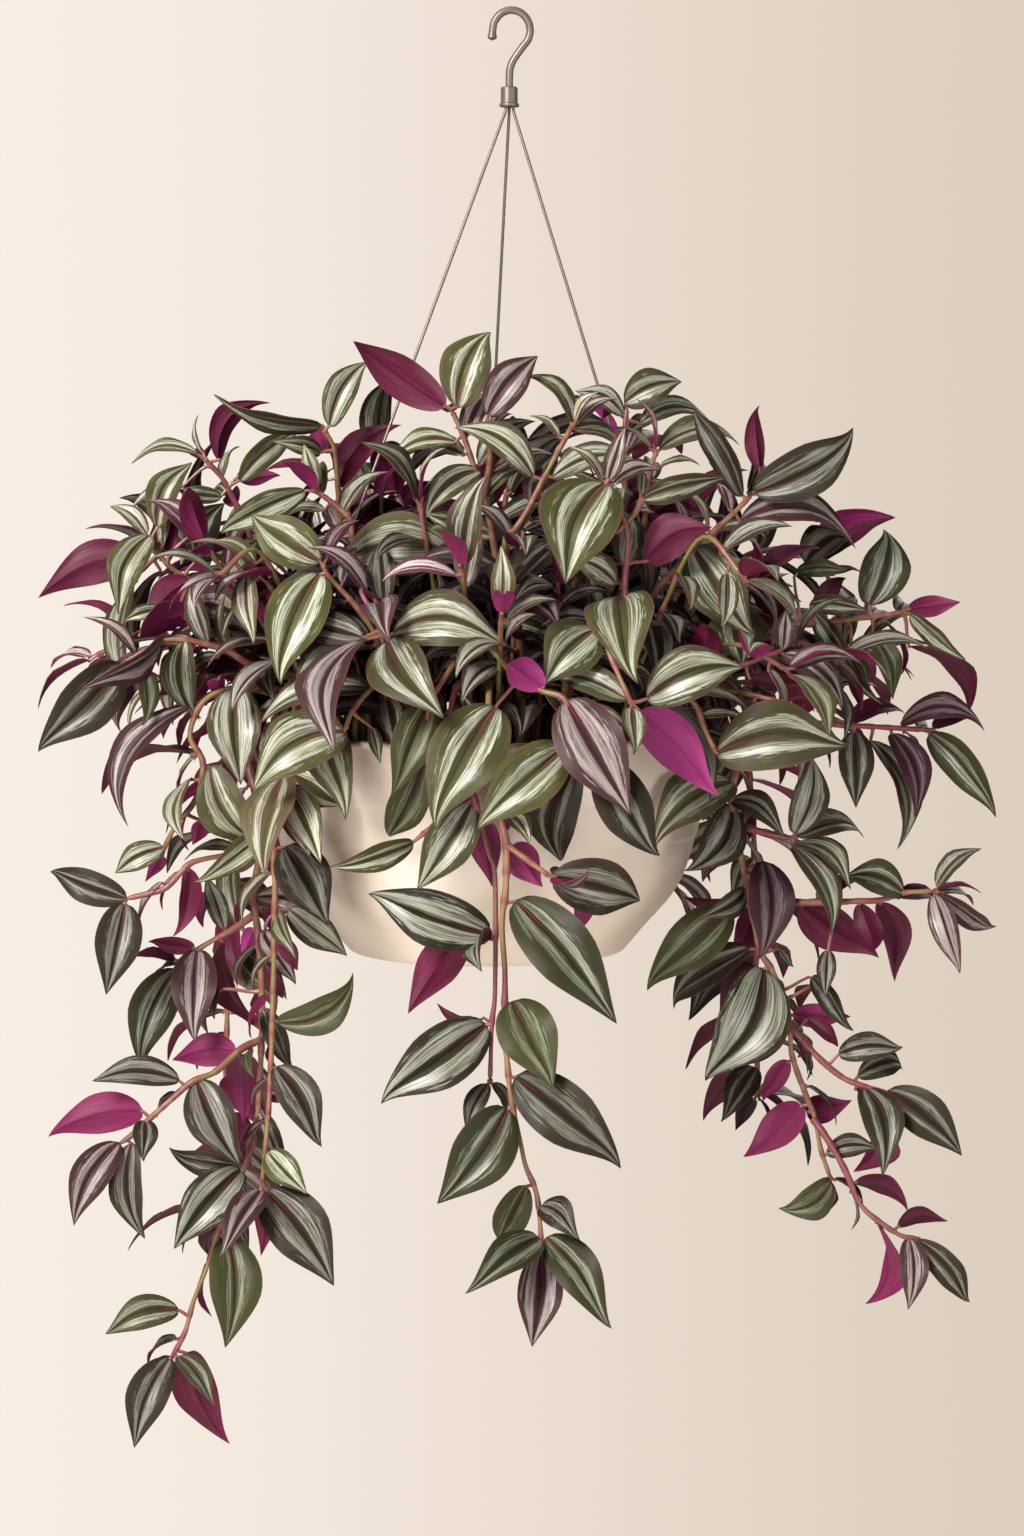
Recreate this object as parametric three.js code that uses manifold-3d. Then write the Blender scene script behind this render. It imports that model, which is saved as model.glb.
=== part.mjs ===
// A hanging pot of silver-striped trailing inch plant: an ivory pot on three wires and a hook, filled with
// soil, with leafy stems that stand up in the crown and hang far below the pot.
// Millimetres, +Z up. The origin is the inside of the hook's bend, where the whole thing hangs.

import * as THREE from "three";
import { mergeVertices } from "three/addons/utils/BufferGeometryUtils.js";
import Module from "manifold-3d";

const wasm = await Module();
wasm.setup();

// Driving dimensions

const CLEAR = 0.3; // gap between touching pieces
const POT_AXIS_X = -14; // the hook's bend stands to the right of the pot's axis
const RIM_Z = -389.5;
const POT_HEIGHT = 123;
const POT_WALL = 2.6;
const FLANGE_RADIUS = 135;
const FLANGE_THICK = 3;
const POT_SIDES = 32;
const SOIL_DROP = 15; // soil surface below the rim
const STEM_HOLE_DEPTH = 10;
const DRAIN_HOLE = { radius: 4, ring: 45, count: 5, first: 90 };

const WIRE_RADIUS = 0.85;
const WIRE_RING_RADIUS = 130.5; // where the wires pass the flange
const WIRE_AZIMUTHS = { left: 212.6, back: 92.6, right: 332.6 };
const WIRE_HOLE_CLEAR = 0.55;
const WIRE_FOOT = 2.4; // degrees round the rim that the bent end takes below the flange
const WIRE_BEND = 6; // above the flange, where a wire turns down into its hole

const HANGER_X = -1.4; // line of the collar and the hook's shank
const COLLAR = {
  topZ: -39.3,
  bottomZ: -50,
  radius: 4.7,
  lipRadius: 5.4,
  lip: 1.6,
  bevel: 0.6,
  wireRing: 2.3,
  wireGrip: 6,
  wireBend: 2, // below the collar, where the wires spread
  shankGrip: 3.2,
  sides: 18,
  shankHoleSides: 10,
};
const HOOK = {
  barRadius: 2.1,
  knobRadius: 2.7,
  loopX: -0.3, // the loop is half of an oval round this line
  halfWidth: 10.2,
  halfHeight: 10.9,
  arc: [180, 155, 125, 95, 65, 35, 5, -25, -52], // degrees round the oval
  tip: [-10.8, -13.4],
  neck: [[1.1, -24.3], [-0.9, -29], [HANGER_X, -34]],
  steps: 22,
  sides: 8,
  knobSides: [10, 6],
};

const BLADE_THICK = 0.9;
const STEM_RADIUS = 2.7;
const BRANCH_RADIUS = 2.1;

// The view the stems were measured in: a lens in front of the pot that looks slightly down

const VIEW = { distance: 2000, height: -257.8, pitch: 4.4, focal: 3626.67, centre: [512, 768] };

const RADIAN = Math.PI / 180;
const UP = new THREE.Vector3(0, 0, 1);
const V = (x, y, z) => new THREE.Vector3(x, y, z);

// The point seen at a pixel, at a depth in mm behind the pot's axis (negative towards the lens).
function seen([px, py], depth) {
  const across = (px - VIEW.centre[0]) / VIEW.focal;
  const up = (VIEW.centre[1] - py) / VIEW.focal;
  const c = Math.cos(VIEW.pitch * RADIAN);
  const s = Math.sin(VIEW.pitch * RADIAN);
  const reach = (VIEW.distance + depth) / (c + up * s);
  return V(across * reach, depth, VIEW.height + reach * (up * c - s));
}

// The pixel at which a point is seen.
function pixelOf(p) {
  const c = Math.cos(VIEW.pitch * RADIAN);
  const s = Math.sin(VIEW.pitch * RADIAN);
  const ahead = VIEW.distance + p.y;
  const above = p.z - VIEW.height;
  const reach = ahead * c - above * s;
  return [
    VIEW.centre[0] + (VIEW.focal * p.x) / reach,
    VIEW.centre[1] - (VIEW.focal * (above * c + ahead * s)) / reach,
  ];
}

// A place round the pot: degrees from +X towards the back, mm from the pot's axis, height.
function round(degrees, radius, z) {
  return V(POT_AXIS_X + radius * Math.cos(degrees * RADIAN), radius * Math.sin(degrees * RADIAN), z);
}

// Measured stems. root: degrees round the pot and mm from its axis, in the soil. over: where a trailing stem
// crosses the rim, in degrees. route: [px, py, depth mm] from the crown to the tip. A branch leaves the stem
// at its first route point. Leaves: [base px, base py, tip px, tip py, width px, side that is seen, bow]. The
// bow is how far the middle lies to the left of the line from base to tip, as a share of its length, if it does.

const TOP = 1;
const UNDER = -1;

const MEASURED = [
  {
    name: "stem_left_outer",
    root: [188, 90],
    route: [[230, 600, -20], [195, 583, -24], [168, 565, -28], [150, 538, -30]],
    leaves: [
      [144, 560, 38, 598, 45, UNDER, -0.1],
      [150, 535, 118, 615, 38, TOP, -0.15],
      [157, 528, 192, 462, 32, TOP, 0.15],
      [197, 560, 225, 503, 38, TOP, 0.15],
    ],
  },
  {
    name: "stem_left_middle",
    root: [197, 100],
    route: [[255, 640, -48], [222, 625, -50], [197, 610, -52], [178, 605, -54]],
    leaves: [
      [180, 608, 256, 639, 45, TOP, 0.15],
      [191, 580, 142, 627, 35, UNDER, -0.1],
      [197, 613, 140, 637, 30, UNDER],
    ],
  },
  {
    name: "stem_left_low",
    root: [206, 74],
    route: [[262, 668, -68], [225, 650, -76], [184, 640, -82], [160, 643, -84], [122, 664, -86]],
    leaves: [
      [184, 640, 202, 719, 35, TOP, -0.15],
      [160, 641, 78, 691, 28, TOP, -0.15],
      [160, 646, 122, 734, 35, TOP, -0.15],
      [122, 664, 38, 752, 55, TOP],
    ],
  },
  {
    name: "stem_left_back",
    root: [178, 65],
    route: [[262, 560, -5], [245, 520, -5], [232, 497, -6], [222, 478, -8], [203, 457, -10]],
    leaves: [
      [218, 461, 271, 403, 24, UNDER, 0.2],
      [239, 481, 300, 431, 25, TOP, 0.15],
      [258, 541, 225, 589, 30, TOP, -0.15],
    ],
  },
  {
    name: "stem_left_top",
    root: [196, 42],
    route: [[345, 540, -22], [338, 487, -30], [334, 448, -34], [322, 428, -36]],
    leaves: [
      [322, 425, 213, 394, 22, TOP, -0.1],
      [329, 427, 370, 362, 32, TOP, 0.1],
      [339, 487, 402, 425, 32, UNDER, 0.2],
    ],
  },
  {
    name: "stem_left_inner",
    root: [226, 58],
    route: [[355, 545, -76], [350, 520, -80], [335, 505, -82], [318, 492, -84]],
    leaves: [
      [306, 490, 221, 534, 30, TOP, -0.15],
      [345, 560, 469, 563, 65, TOP, 0.15],
    ],
  },
  {
    name: "stem_left_front",
    root: [236, 94],
    route: [[375, 635, -98], [355, 605, -102], [330, 578, -104], [322, 563, -105]],
    leaves: [
      [321, 562, 252, 513, 50, TOP],
      [320, 573, 281, 685, 60, TOP, -0.1],
    ],
  },
  {
    name: "stem_front_left",
    root: [250, 72],
    route: [[362, 590, -118], [378, 622, -126], [388, 640, -130]],
    leaves: [
      [363, 640, 335, 754, 45, TOP, -0.1],
      [393, 632, 509, 646, 58, TOP, 0.15],
      [388, 641, 444, 719, 62, TOP, -0.05],
    ],
  },
  {
    name: "stem_rim_left",
    root: [243, 104],
    route: [[370, 690, -128], [352, 712, -136], [345, 731, -140]],
    leaves: [
      [345, 731, 253, 791, 62, TOP, -0.15],
    ],
  },
  {
    name: "stem_top_front",
    root: [280, 46],
    route: [[500, 640, -62], [500, 590, -70], [492, 535, -78], [485, 500, -82], [475, 470, -85],
      [465, 440, -87], [452, 410, -88]],
    leaves: [
      [446, 407, 353, 341, 42, UNDER],
      [457, 408, 491, 332, 51, TOP, 0.1],
      [480, 470, 426, 519, 30, TOP, -0.15],
      [457, 442, 389, 463, 22, TOP, -0.1],
      [494, 536, 425, 511, 26, TOP, -0.05],
      [498, 614, 557, 640, 35, TOP, 0.1],
    ],
    branches: [
      {
        route: [[485, 500, -82], [490, 460, -92], [487, 418, -96]],
        leaves: [[487, 416, 538, 356, 40, TOP, 0.1]],
      },
    ],
  },
  {
    name: "stem_top_middle",
    root: [288, 68],
    route: [[505, 545, -108], [515, 530, -108], [528, 510, -106], [543, 480, -102], [573, 424, -94]],
    leaves: [
      [534, 477, 454, 428, 32, TOP, -0.1],
      [552, 478, 639, 464, 28, TOP, 0.1],
    ],
  },
  {
    name: "stem_top_right",
    root: [318, 30],
    route: [[620, 520, -60], [623, 450, -60], [627, 408, -58]],
    leaves: [
      [624, 403, 682, 382, 38, TOP, 0.1],
      [624, 415, 575, 391, 22, TOP, -0.15],
    ],
  },
  {
    name: "stem_right_inner",
    root: [330, 52],
    route: [[640, 540, -66], [648, 478, -72], [657, 450, -74]],
    leaves: [[659, 449, 740, 446, 24, TOP, 0.1]],
  },
  {
    name: "stem_front_right",
    root: [301, 86],
    route: [[622, 620, -112], [625, 580, -116], [627, 530, -118], [612, 500, -120], [606, 484, -121]],
    leaves: [
      [606, 483, 565, 584, 82, TOP, -0.1],
      [620, 597, 638, 684, 69, TOP],
      [617, 584, 573, 558, 30, TOP, -0.1],
      [646, 562, 712, 527, 45, UNDER, 0.15],
    ],
    branches: [
      {
        route: [[627, 530, -118], [636, 512, -116], [642, 499, -114]],
        leaves: [[642, 499, 727, 478, 28, TOP, 0.1]],
      },
    ],
  },
  {
    name: "stem_right_top",
    root: [327, 68],
    route: [[650, 598, -88], [665, 580, -92], [690, 555, -92], [715, 530, -88], [735, 512, -84],
      [752, 494, -80]],
    leaves: [
      [743, 497, 694, 408, 25, TOP, -0.2],
      [752, 493, 853, 427, 52, TOP, -0.1],
      [739, 522, 856, 549, 34, TOP, 0.15],
      [693, 548, 756, 635, 60, TOP],
    ],
    branches: [
      {
        route: [[690, 555, -92], [718, 580, -84], [734, 607, -80]],
        leaves: [[734, 610, 741, 666, 58, TOP]],
      },
    ],
  },
  {
    name: "stem_right_front",
    root: [316, 100],
    route: [[700, 675, -100], [735, 668, -102], [783, 650, -98]],
    leaves: [
      [783, 654, 842, 712, 28, TOP, 0.15],
      [783, 650, 785, 610, 25, TOP],
    ],
  },
  {
    name: "stem_right_outer",
    root: [348, 62],
    route: [[795, 625, -45], [830, 622, -42], [870, 617, -38], [905, 612, -34]],
    leaves: [
      [869, 606, 883, 529, 50, TOP, -0.1],
      [813, 611, 885, 705, 28, TOP, 0.15],
      [908, 609, 961, 602, 22, UNDER],
      [872, 637, 893, 700, 26, TOP, 0.15],
    ],
  },
  {
    name: "stem_right_low",
    root: [356, 92],
    over: 350,
    route: [[815, 722, -52], [845, 725, -54], [880, 727, -54], [930, 730, -50]],
    leaves: [
      [900, 724, 985, 732, 28, TOP, 0.2],
      [929, 733, 996, 818, 36, TOP, 0.15],
      [891, 733, 914, 818, 32, TOP, 0.15],
      [870, 740, 897, 850, 22, TOP, 0.15],
      [854, 731, 856, 808, 36, TOP],
    ],
  },
  {
    name: "stem_front_middle",
    root: [281, 96],
    route: [[485, 640, -132], [510, 670, -144], [540, 690, -152], [565, 700, -158], [574, 735, -160],
      [600, 758, -160]],
    leaves: [
      [545, 688, 508, 664, 33, UNDER],
      [496, 706, 436, 830, 75, TOP, -0.05],
      [566, 747, 477, 830, 60, TOP],
      [566, 700, 631, 816, 68, TOP],
      [600, 760, 660, 856, 55, TOP],
      [575, 765, 560, 861, 55, TOP, -0.15],
    ],
  },
  {
    name: "stem_front_rim",
    root: [254, 102],
    route: [[455, 660, -126], [440, 685, -138], [430, 702, -144], [426, 735, -148], [424, 758, -149]],
    leaves: [
      [430, 702, 391, 795, 45, TOP],
      [425, 760, 390, 837, 40, TOP],
    ],
  },
  {
    name: "stem_rim_middle",
    root: [294, 100],
    route: [[596, 622, -132], [612, 660, -144], [632, 705, -150]],
    leaves: [
      [595, 630, 545, 684, 60, TOP, -0.1],
      [596, 618, 538, 605, 22, TOP, -0.1],
      [628, 700, 557, 677, 30, TOP, -0.05],
      [646, 699, 744, 668, 55, TOP, 0.1],
      [640, 711, 719, 795, 50, UNDER],
    ],
  },
  {
    name: "stem_rim_right",
    root: [306, 104],
    route: [[690, 700, -120], [705, 730, -126], [716, 752, -128]],
    leaves: [[716, 754, 848, 745, 70, TOP, 0.1]],
  },
  {
    name: "vine_left_outer",
    root: [220, 92],
    over: 217,
    route: [[240, 688, -92], [205, 700, -98], [190, 735, -100], [203, 763, -100], [195, 800, -98],
      [176, 825, -96], [163, 851, -94]],
    leaves: [
      [235, 687, 241, 785, 54, TOP, -0.05],
      [190, 706, 129, 828, 35, TOP, -0.2],
      [192, 754, 85, 802, 22, UNDER, -0.05],
      [210, 766, 263, 845, 50, TOP, -0.15],
      [164, 847, 115, 873, 28, TOP, -0.1],
    ],
  },
  {
    name: "vine_left",
    root: [207, 96],
    over: 204,
    route: [[255, 790, -84], [258, 860, -84], [254, 897, -84], [260, 950, -82], [262, 1010, -80],
      [260, 1080, -80], [256, 1130, -82], [245, 1165, -84], [220, 1225, -86], [207, 1267, -86],
      [194, 1300, -86], [185, 1332, -86], [172, 1357, -86]],
    leaves: [
      [260, 775, 303, 835, 38, UNDER],
      [258, 847, 208, 869, 22, UNDER, 0.1],
      [256, 897, 328, 926, 30, TOP, 0.15],
      [262, 930, 296, 985, 28, TOP],
      [240, 1166, 169, 1147, 25, TOP],
      [242, 1168, 174, 1249, 50, TOP, -0.05],
      [228, 1236, 225, 1348, 54, TOP, 0.1],
      [179, 1309, 105, 1334, 35, TOP, -0.1],
      [170, 1357, 134, 1448, 43, TOP, -0.1],
      [187, 1352, 230, 1444, 45, UNDER, -0.05],
      [178, 1356, 216, 1407, 25, TOP],
    ],
    branches: [
      {
        route: [[258, 1040, -80], [240, 1050, -86], [215, 1072, -92], [192, 1082, -95],
          [165, 1105, -96], [132, 1135, -96], [119, 1144, -96]],
        leaves: [
          [237, 1051, 172, 1060, 35, UNDER, -0.1],
          [240, 1054, 243, 1124, 35, UNDER],
          [180, 1080, 92, 1081, 30, TOP, -0.05],
          [143, 1110, 48, 1137, 42, UNDER, -0.1],
          [145, 1120, 144, 1162, 26, TOP],
          [119, 1142, 74, 1226, 40, TOP, -0.1],
          [132, 1142, 145, 1239, 34, TOP, -0.1],
          [197, 1081, 241, 1166, 50, TOP, -0.05],
        ],
      },
      {
        route: [[257, 845, -84], [230, 854, -90], [200, 860, -94], [187, 866, -96], [167, 887, -98],
          [151, 893, -98], [125, 899, -98]],
        leaves: [
          [127, 899, 50, 872, 35, TOP],
          [125, 903, 106, 995, 47, TOP],
          [190, 868, 172, 937, 24, UNDER],
        ],
      },
      {
        route: [[256, 912, -84], [235, 928, -74], [205, 945, -70], [180, 962, -68]],
        leaves: [
          [197, 949, 196, 1043, 46, TOP, -0.05],
          [178, 968, 144, 1071, 48, TOP, -0.1],
          [222, 940, 256, 1026, 22, UNDER],
          [225, 930, 208, 875, 22, TOP],
        ],
      },
    ],
  },
  {
    name: "vine_left_inner",
    root: [233, 76],
    over: 229,
    route: [[275, 815, -104], [275, 900, -104], [272, 1030, -102], [271, 1060, -102],
      [269, 1105, -102], [266, 1140, -102], [262, 1184, -102]],
    leaves: [
      [292, 775, 343, 806, 40, TOP],
      [272, 828, 193, 882, 30, TOP, -0.05],
      [285, 846, 329, 925, 55, TOP, 0.05],
      [288, 909, 347, 956, 35, TOP],
      [277, 1023, 353, 972, 38, TOP, -0.2],
      [276, 1066, 322, 1147, 42, TOP, 0.05],
      [268, 1152, 307, 1195, 33, TOP],
      [266, 1190, 334, 1286, 62, TOP, 0.05],
      [261, 1190, 219, 1259, 35, TOP],
      [263, 1192, 261, 1256, 28, UNDER],
    ],
  },
  {
    name: "vine_front",
    root: [269, 70],
    over: 271,
    route: [[501, 817, -156], [506, 842, -157], [506, 885, -158], [502, 925, -158], [505, 975, -158],
      [504, 1035, -158], [507, 1060, -158], [511, 1097, -158], [521, 1145, -158], [526, 1167, -158],
      [537, 1196, -158], [542, 1250, -158]],
    leaves: [
      [515, 900, 617, 1024, 65, TOP, 0.05],
      [512, 845, 543, 887, 35, UNDER],
      [512, 1001, 552, 1090, 60, TOP],
      [515, 1076, 621, 1169, 62, TOP, 0.05],
      [508, 1108, 437, 1204, 62, TOP, 0.05],
      [526, 1185, 501, 1242, 36, TOP],
      [541, 1206, 580, 1240, 33, TOP, 0.1],
      [540, 1238, 465, 1294, 40, TOP],
      [542, 1254, 532, 1347, 46, TOP],
      [546, 1237, 612, 1329, 46, TOP, 0.05],
    ],
    branches: [
      {
        route: [[506, 842, -157], [530, 862, -160], [551, 877, -162]],
        leaves: [
          [551, 877, 640, 901, 58, TOP],
        ],
      },
    ],
  },
  {
    name: "vine_front_second",
    root: [262, 52],
    over: 263.5,
    route: [[474, 798, -152], [488, 850, -147], [495, 880, -146], [495, 990, -145], [492, 1022, -145],
      [490, 1080, -145]],
    leaves: [
      [472, 802, 417, 890, 50, TOP],
      [483, 820, 492, 887, 33, UNDER],
      [491, 935, 368, 894, 58, TOP, 0.05],
      [462, 934, 408, 1014, 44, UNDER],
      [487, 1024, 381, 1104, 62, TOP],
    ],
    branches: [
      {
        route: [[474, 798, -152], [448, 815, -150], [420, 836, -148]],
        leaves: [[414, 842, 329, 866, 28, TOP]],
      },
    ],
  },
  {
    name: "vine_right",
    root: [338, 84],
    over: 341,
    route: [[732, 795, -66], [740, 850, -64], [750, 900, -62], [760, 950, -60], [773, 972, -60],
      [789, 1019, -60], [792, 1055, -60], [807, 1098, -60], [814, 1115, -60], [821, 1150, -60],
      [830, 1177, -60]],
    leaves: [
      [732, 800, 786, 838, 28, TOP, 0.15],
      [732, 805, 684, 871, 45, TOP, 0.15],
      [744, 892, 699, 921, 25, TOP],
      [764, 861, 758, 960, 47, TOP, 0.1],
      [730, 907, 647, 991, 52, TOP],
      [750, 948, 674, 1010, 35, TOP],
      [764, 968, 705, 1081, 72, TOP, 0.1],
      [785, 1027, 725, 1070, 35, TOP],
      [792, 1015, 851, 1017, 25, UNDER],
      [802, 1105, 743, 1157, 38, UNDER],
      [806, 1112, 852, 1100, 30, UNDER],
      [826, 1153, 878, 1149, 25, TOP, 0.1],
      [832, 1181, 778, 1208, 35, TOP, 0.2],
      [788, 1060, 763, 1102, 22, UNDER],
    ],
    branches: [
      {
        route: [[792, 1022, -60], [816, 1055, -64], [842, 1077, -66], [864, 1086, -68],
          [888, 1093, -68]],
        leaves: [
          [838, 1054, 903, 1047, 30, TOP, 0.1],
          [857, 1076, 902, 1070, 30, TOP, 0.15],
          [886, 1091, 962, 1156, 45, TOP, 0.1],
          [865, 1088, 882, 1177, 42, TOP, 0.15],
          [855, 1088, 853, 1172, 22, UNDER, 0.1],
        ],
      },
      {
        route: [[814, 1118, -60], [830, 1143, -66], [845, 1170, -70], [861, 1205, -72],
          [883, 1224, -74], [902, 1236, -74], [918, 1238, -74]],
        leaves: [
          [909, 1238, 908, 1310, 30, TOP, 0.05],
          [916, 1239, 970, 1302, 30, TOP, 0.1],
        ],
      },
      {
        route: [[745, 872, -63], [770, 890, -70], [798, 902, -76], [859, 901, -80], [880, 900, -80],
          [904, 893, -80], [934, 891, -80]],
        leaves: [
          [800, 905, 879, 958, 45, UNDER],
          [904, 893, 842, 880, 36, TOP, -0.15],
          [859, 903, 872, 951, 28, UNDER, 0.05],
          [880, 902, 895, 982, 32, UNDER, 0.1],
          [934, 894, 960, 974, 28, TOP, 0.1],
        ],
      },
      {
        route: [[737, 825, -65], [765, 833, -74], [795, 839, -80]],
        leaves: [
          [795, 835, 812, 757, 38, TOP, -0.1],
          [792, 846, 830, 936, 30, TOP, 0.1],
          [795, 843, 851, 890, 25, TOP, 0.1],
          [796, 837, 864, 838, 25, TOP, 0.1],
        ],
      },
    ],
  },
];

// The hidden side. Each stem has one of three habits, given by its places as [mm from the pot's axis, mm above
// the rim], the spacing of its leaves and their length. The long vines hang behind the ones in front.

const HABITS = {
  shoot: { root: 72, path: [[104, 60], [142, 92], [172, 98], [192, 84]], pitch: 30, leaf: [46, 66] },
  vine: { root: 94, path: [[118, 32], [148, 16], [157, -40]], pitch: 36, leaf: [42, 58] },
  crown: { root: 42, path: [[60, 88], [80, 130], [98, 152]], pitch: 30, leaf: [46, 66] },
};
const HIDDEN = [
  { habit: "shoot", azimuth: 12 },
  { habit: "vine", azimuth: 25, hang: 175 },
  { habit: "crown", azimuth: 38 },
  { habit: "vine", azimuth: 52, hang: 55 },
  { habit: "shoot", azimuth: 65 },
  { habit: "vine", azimuth: 80, hang: 60 },
  { habit: "crown", azimuth: 84 },
  { habit: "shoot", azimuth: 104 },
  { habit: "vine", azimuth: 119, hang: 55 },
  { habit: "crown", azimuth: 130 },
  { habit: "shoot", azimuth: 141 },
  { habit: "vine", azimuth: 154, hang: 240 },
  { habit: "shoot", azimuth: 170 },
];
const HIDDEN_SEED = 2024;
const STRAY = { degrees: 3, radius: 0.03, aside: 8, away: 10 }; // how far a hidden stem strays from its habit

// Leaf habit

const LEAF = {
  stations: [0.24, 0.62], // where a broad blade has its full width and its shoulder
  narrowStation: [0.36], // where a narrow blade has its full width
  broadFrom: 27, // width of a blade that is drawn with its shoulder
  taperFrom: 0.5,
  shoulder: 0.78, // width at the shoulder as a share of the full width
  arch: 0.1,
  channel: 0.28,
  slimmest: 0.36, // narrowest real width as a share of the length
  length: [46, 68],
  width: [0.4, 0.48],
};

// A measured leaf leans towards the side that its seen face turns to. Its tip tries these depths in mm until it
// has room.
const LEAN = 0.3;
const TIP_DEPTHS = [0, 8, -8, 16, -16, 24, -24, 32, -32, 42, -42, 52, -52];

// A leaf of the rule tries these turns round its stem, in degrees; both kinds try these shares of their size.
const SWINGS = [0, 24, -24, 48, -48, 72, -72, 100, -100];
const SIZES = [1, 0.84, 0.7];
const RULED = {
  lowest: 40, // bare stretch above the root
  pitch: 40, // between the leaves on the hidden stretch of a measured stem
  aside: 0.84, // how far a leaf leaves its stem sideways, and how far it follows it
  along: 0.42,
  droop: [0.1, 0.5],
  wander: 25, // degrees that a leaf strays from the side opposite to the last
  faceOut: 0.7, // how much its upper face turns outwards rather than up
  stalk: 3,
  steep: 0.9, // a stem steeper than this counts its turns from +X
  tangentSpan: 0.02, // share of the stem to each side from which its direction is taken
  lastTurn: 90, // degrees from the last side leaf to the one at the tip
};

// Room: a grid of small cells that remembers which stem already fills them. Even numbers are stems, odd
// numbers their leaves, counted from 2; cells that two stems or a wire reach are closed to all.

const CELL = 2.5;
const SAMPLE = 2;
const ROOM = { min: [-330, -280, -860], cells: [264, 232, 348] };
const LEAF_MARGIN = 4.4;
const STEM_MARGIN = 6.2;
const WIRE_MARGIN = 5;
const POT_MARGIN = 4;
const OWN_SHARE = 0.3; // near its root a leaf may touch its own stem's other leaves
const SHARED = -1;
const room = new Int16Array(ROOM.cells[0] * ROOM.cells[1] * ROOM.cells[2]);

function cellOf(...place) {
  const [i, j, k] = place.map((value, axis) => Math.floor((value - ROOM.min[axis]) / CELL));
  return (i * ROOM.cells[1] + j) * ROOM.cells[2] + k;
}

// Steps in cells from a cell to those within a margin of it.
function stepsWithin(margin) {
  const reach = Math.ceil(margin / CELL);
  const span = Array.from({ length: 2 * reach + 1 }, (_, i) => i - reach);
  const cube = span.flatMap((i) => span.flatMap((j) => span.map((k) => [i, j, k])));
  return cube.filter((step) => Math.hypot(...step) * CELL <= margin);
}

// Fills the cells within a margin of the points with a mark.
function fill(points, margin, mark) {
  const steps = stepsWithin(margin);
  for (const p of points) {
    for (const [i, j, k] of steps) {
      const cell = cellOf(p.x + i * CELL, p.y + j * CELL, p.z + k * CELL);
      const held = room[cell];
      if (held === 0) room[cell] = mark;
      else if (held >> 1 !== mark >> 1) room[cell] = SHARED;
      else room[cell] = Math.max(held, mark);
    }
  }
}

// Radius of the pot's outside at a height above its base.
const POT_OUTSIDE = [[77, 0], [85.5, 10], [105, 34], [113.6, 54], [122, 90], [126, POT_HEIGHT]];

function potRadius(height) {
  const at = POT_OUTSIDE.findIndex(([, h]) => h >= height);
  if (at <= 0) return POT_OUTSIDE[0][0];
  const [[r0, h0], [r1, h1]] = POT_OUTSIDE.slice(at - 1, at + 1);
  return r0 + ((r1 - r0) * (height - h0)) / (h1 - h0);
}

function nearPot(p) {
  const height = p.z - (RIM_Z - POT_HEIGHT);
  if (height < -POT_MARGIN || height > POT_HEIGHT + POT_MARGIN) return false;
  const radius = Math.hypot(p.x - POT_AXIS_X, p.y);
  const flange = height > POT_HEIGHT - FLANGE_THICK - POT_MARGIN;
  return radius < POT_MARGIN + (flange ? FLANGE_RADIUS : potRadius(Math.min(height, POT_HEIGHT)));
}

// Park and Miller's generator, so that every draw is a whole number and repeats exactly.
function draws(seed) {
  const factor = 16807;
  const prime = 2147483647;
  let state = seed;
  return (low, high) => {
    state = (state * factor) % prime;
    return low + ((high - low) * state) / prime;
  };
}

const STEP_LENGTH = 42; // between the sections of a stem

// Points along a polyline, at most a sample apart.
function along(nodes) {
  const points = [];
  for (let i = 0; i + 1 < nodes.length; i++) {
    const count = Math.ceil(nodes[i].distanceTo(nodes[i + 1]) / SAMPLE);
    for (let k = 0; k < count; k++) points.push(nodes[i].clone().lerp(nodes[i + 1], k / count));
  }
  points.push(nodes[nodes.length - 1]);
  return points;
}

// A stem or a branch: a smooth uniform Catmull-Rom line through its points, cut into equal straight sections.
function line(points, radius) {
  const curve = new THREE.CatmullRomCurve3(points, false, "catmullrom", 0.5);
  const length = curve.getLength();
  const nodes = curve.getSpacedPoints(Math.max(2, Math.round(length / STEP_LENGTH)));
  return { length, radius, nodes, places: along(nodes) };
}

function pointAt(nodes, share) {
  const place = Math.min(Math.max(share, 0), 1) * (nodes.length - 1);
  const i = Math.min(Math.floor(place), nodes.length - 2);
  return nodes[i].clone().lerp(nodes[i + 1], place - i);
}

// The number of the item with the least measure.
function least(items, measure) {
  const sizes = items.map(measure);
  return sizes.indexOf(Math.min(...sizes));
}

// The place among these that is seen nearest to a pixel.
function nearestSeen(places, [px, py]) {
  return places[least(places, (p) => {
    const [x, y] = pixelOf(p);
    return Math.hypot(x - px, y - py);
  })];
}

// The first points of a stem: upright in its hole and above it, then over the rim, or in an arch to the next.

const SOIL_Z = RIM_Z - SOIL_DROP;
const UPRIGHT = [14, 36]; // mm above the soil
const OVER_RIM = [[118, 31], [148, 14]]; // mm from the axis, mm above the rim
const ARCH_AT = 0.4;
const ARCH_RISE = 0.2;

function startOf([degrees, radius], over, next) {
  const upright = [CLEAR - STEM_HOLE_DEPTH, ...UPRIGHT].map((above) => round(degrees, radius, SOIL_Z + above));
  if (over !== undefined) return [...upright, ...OVER_RIM.map(([r, above]) => round(over, r, RIM_Z + above))];
  const top = upright[upright.length - 1];
  const reach = Math.hypot(next.x - top.x, next.y - top.y);
  return [...upright, top.clone().lerp(next, ARCH_AT).addScaledVector(UP, ARCH_RISE * reach)];
}

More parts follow.
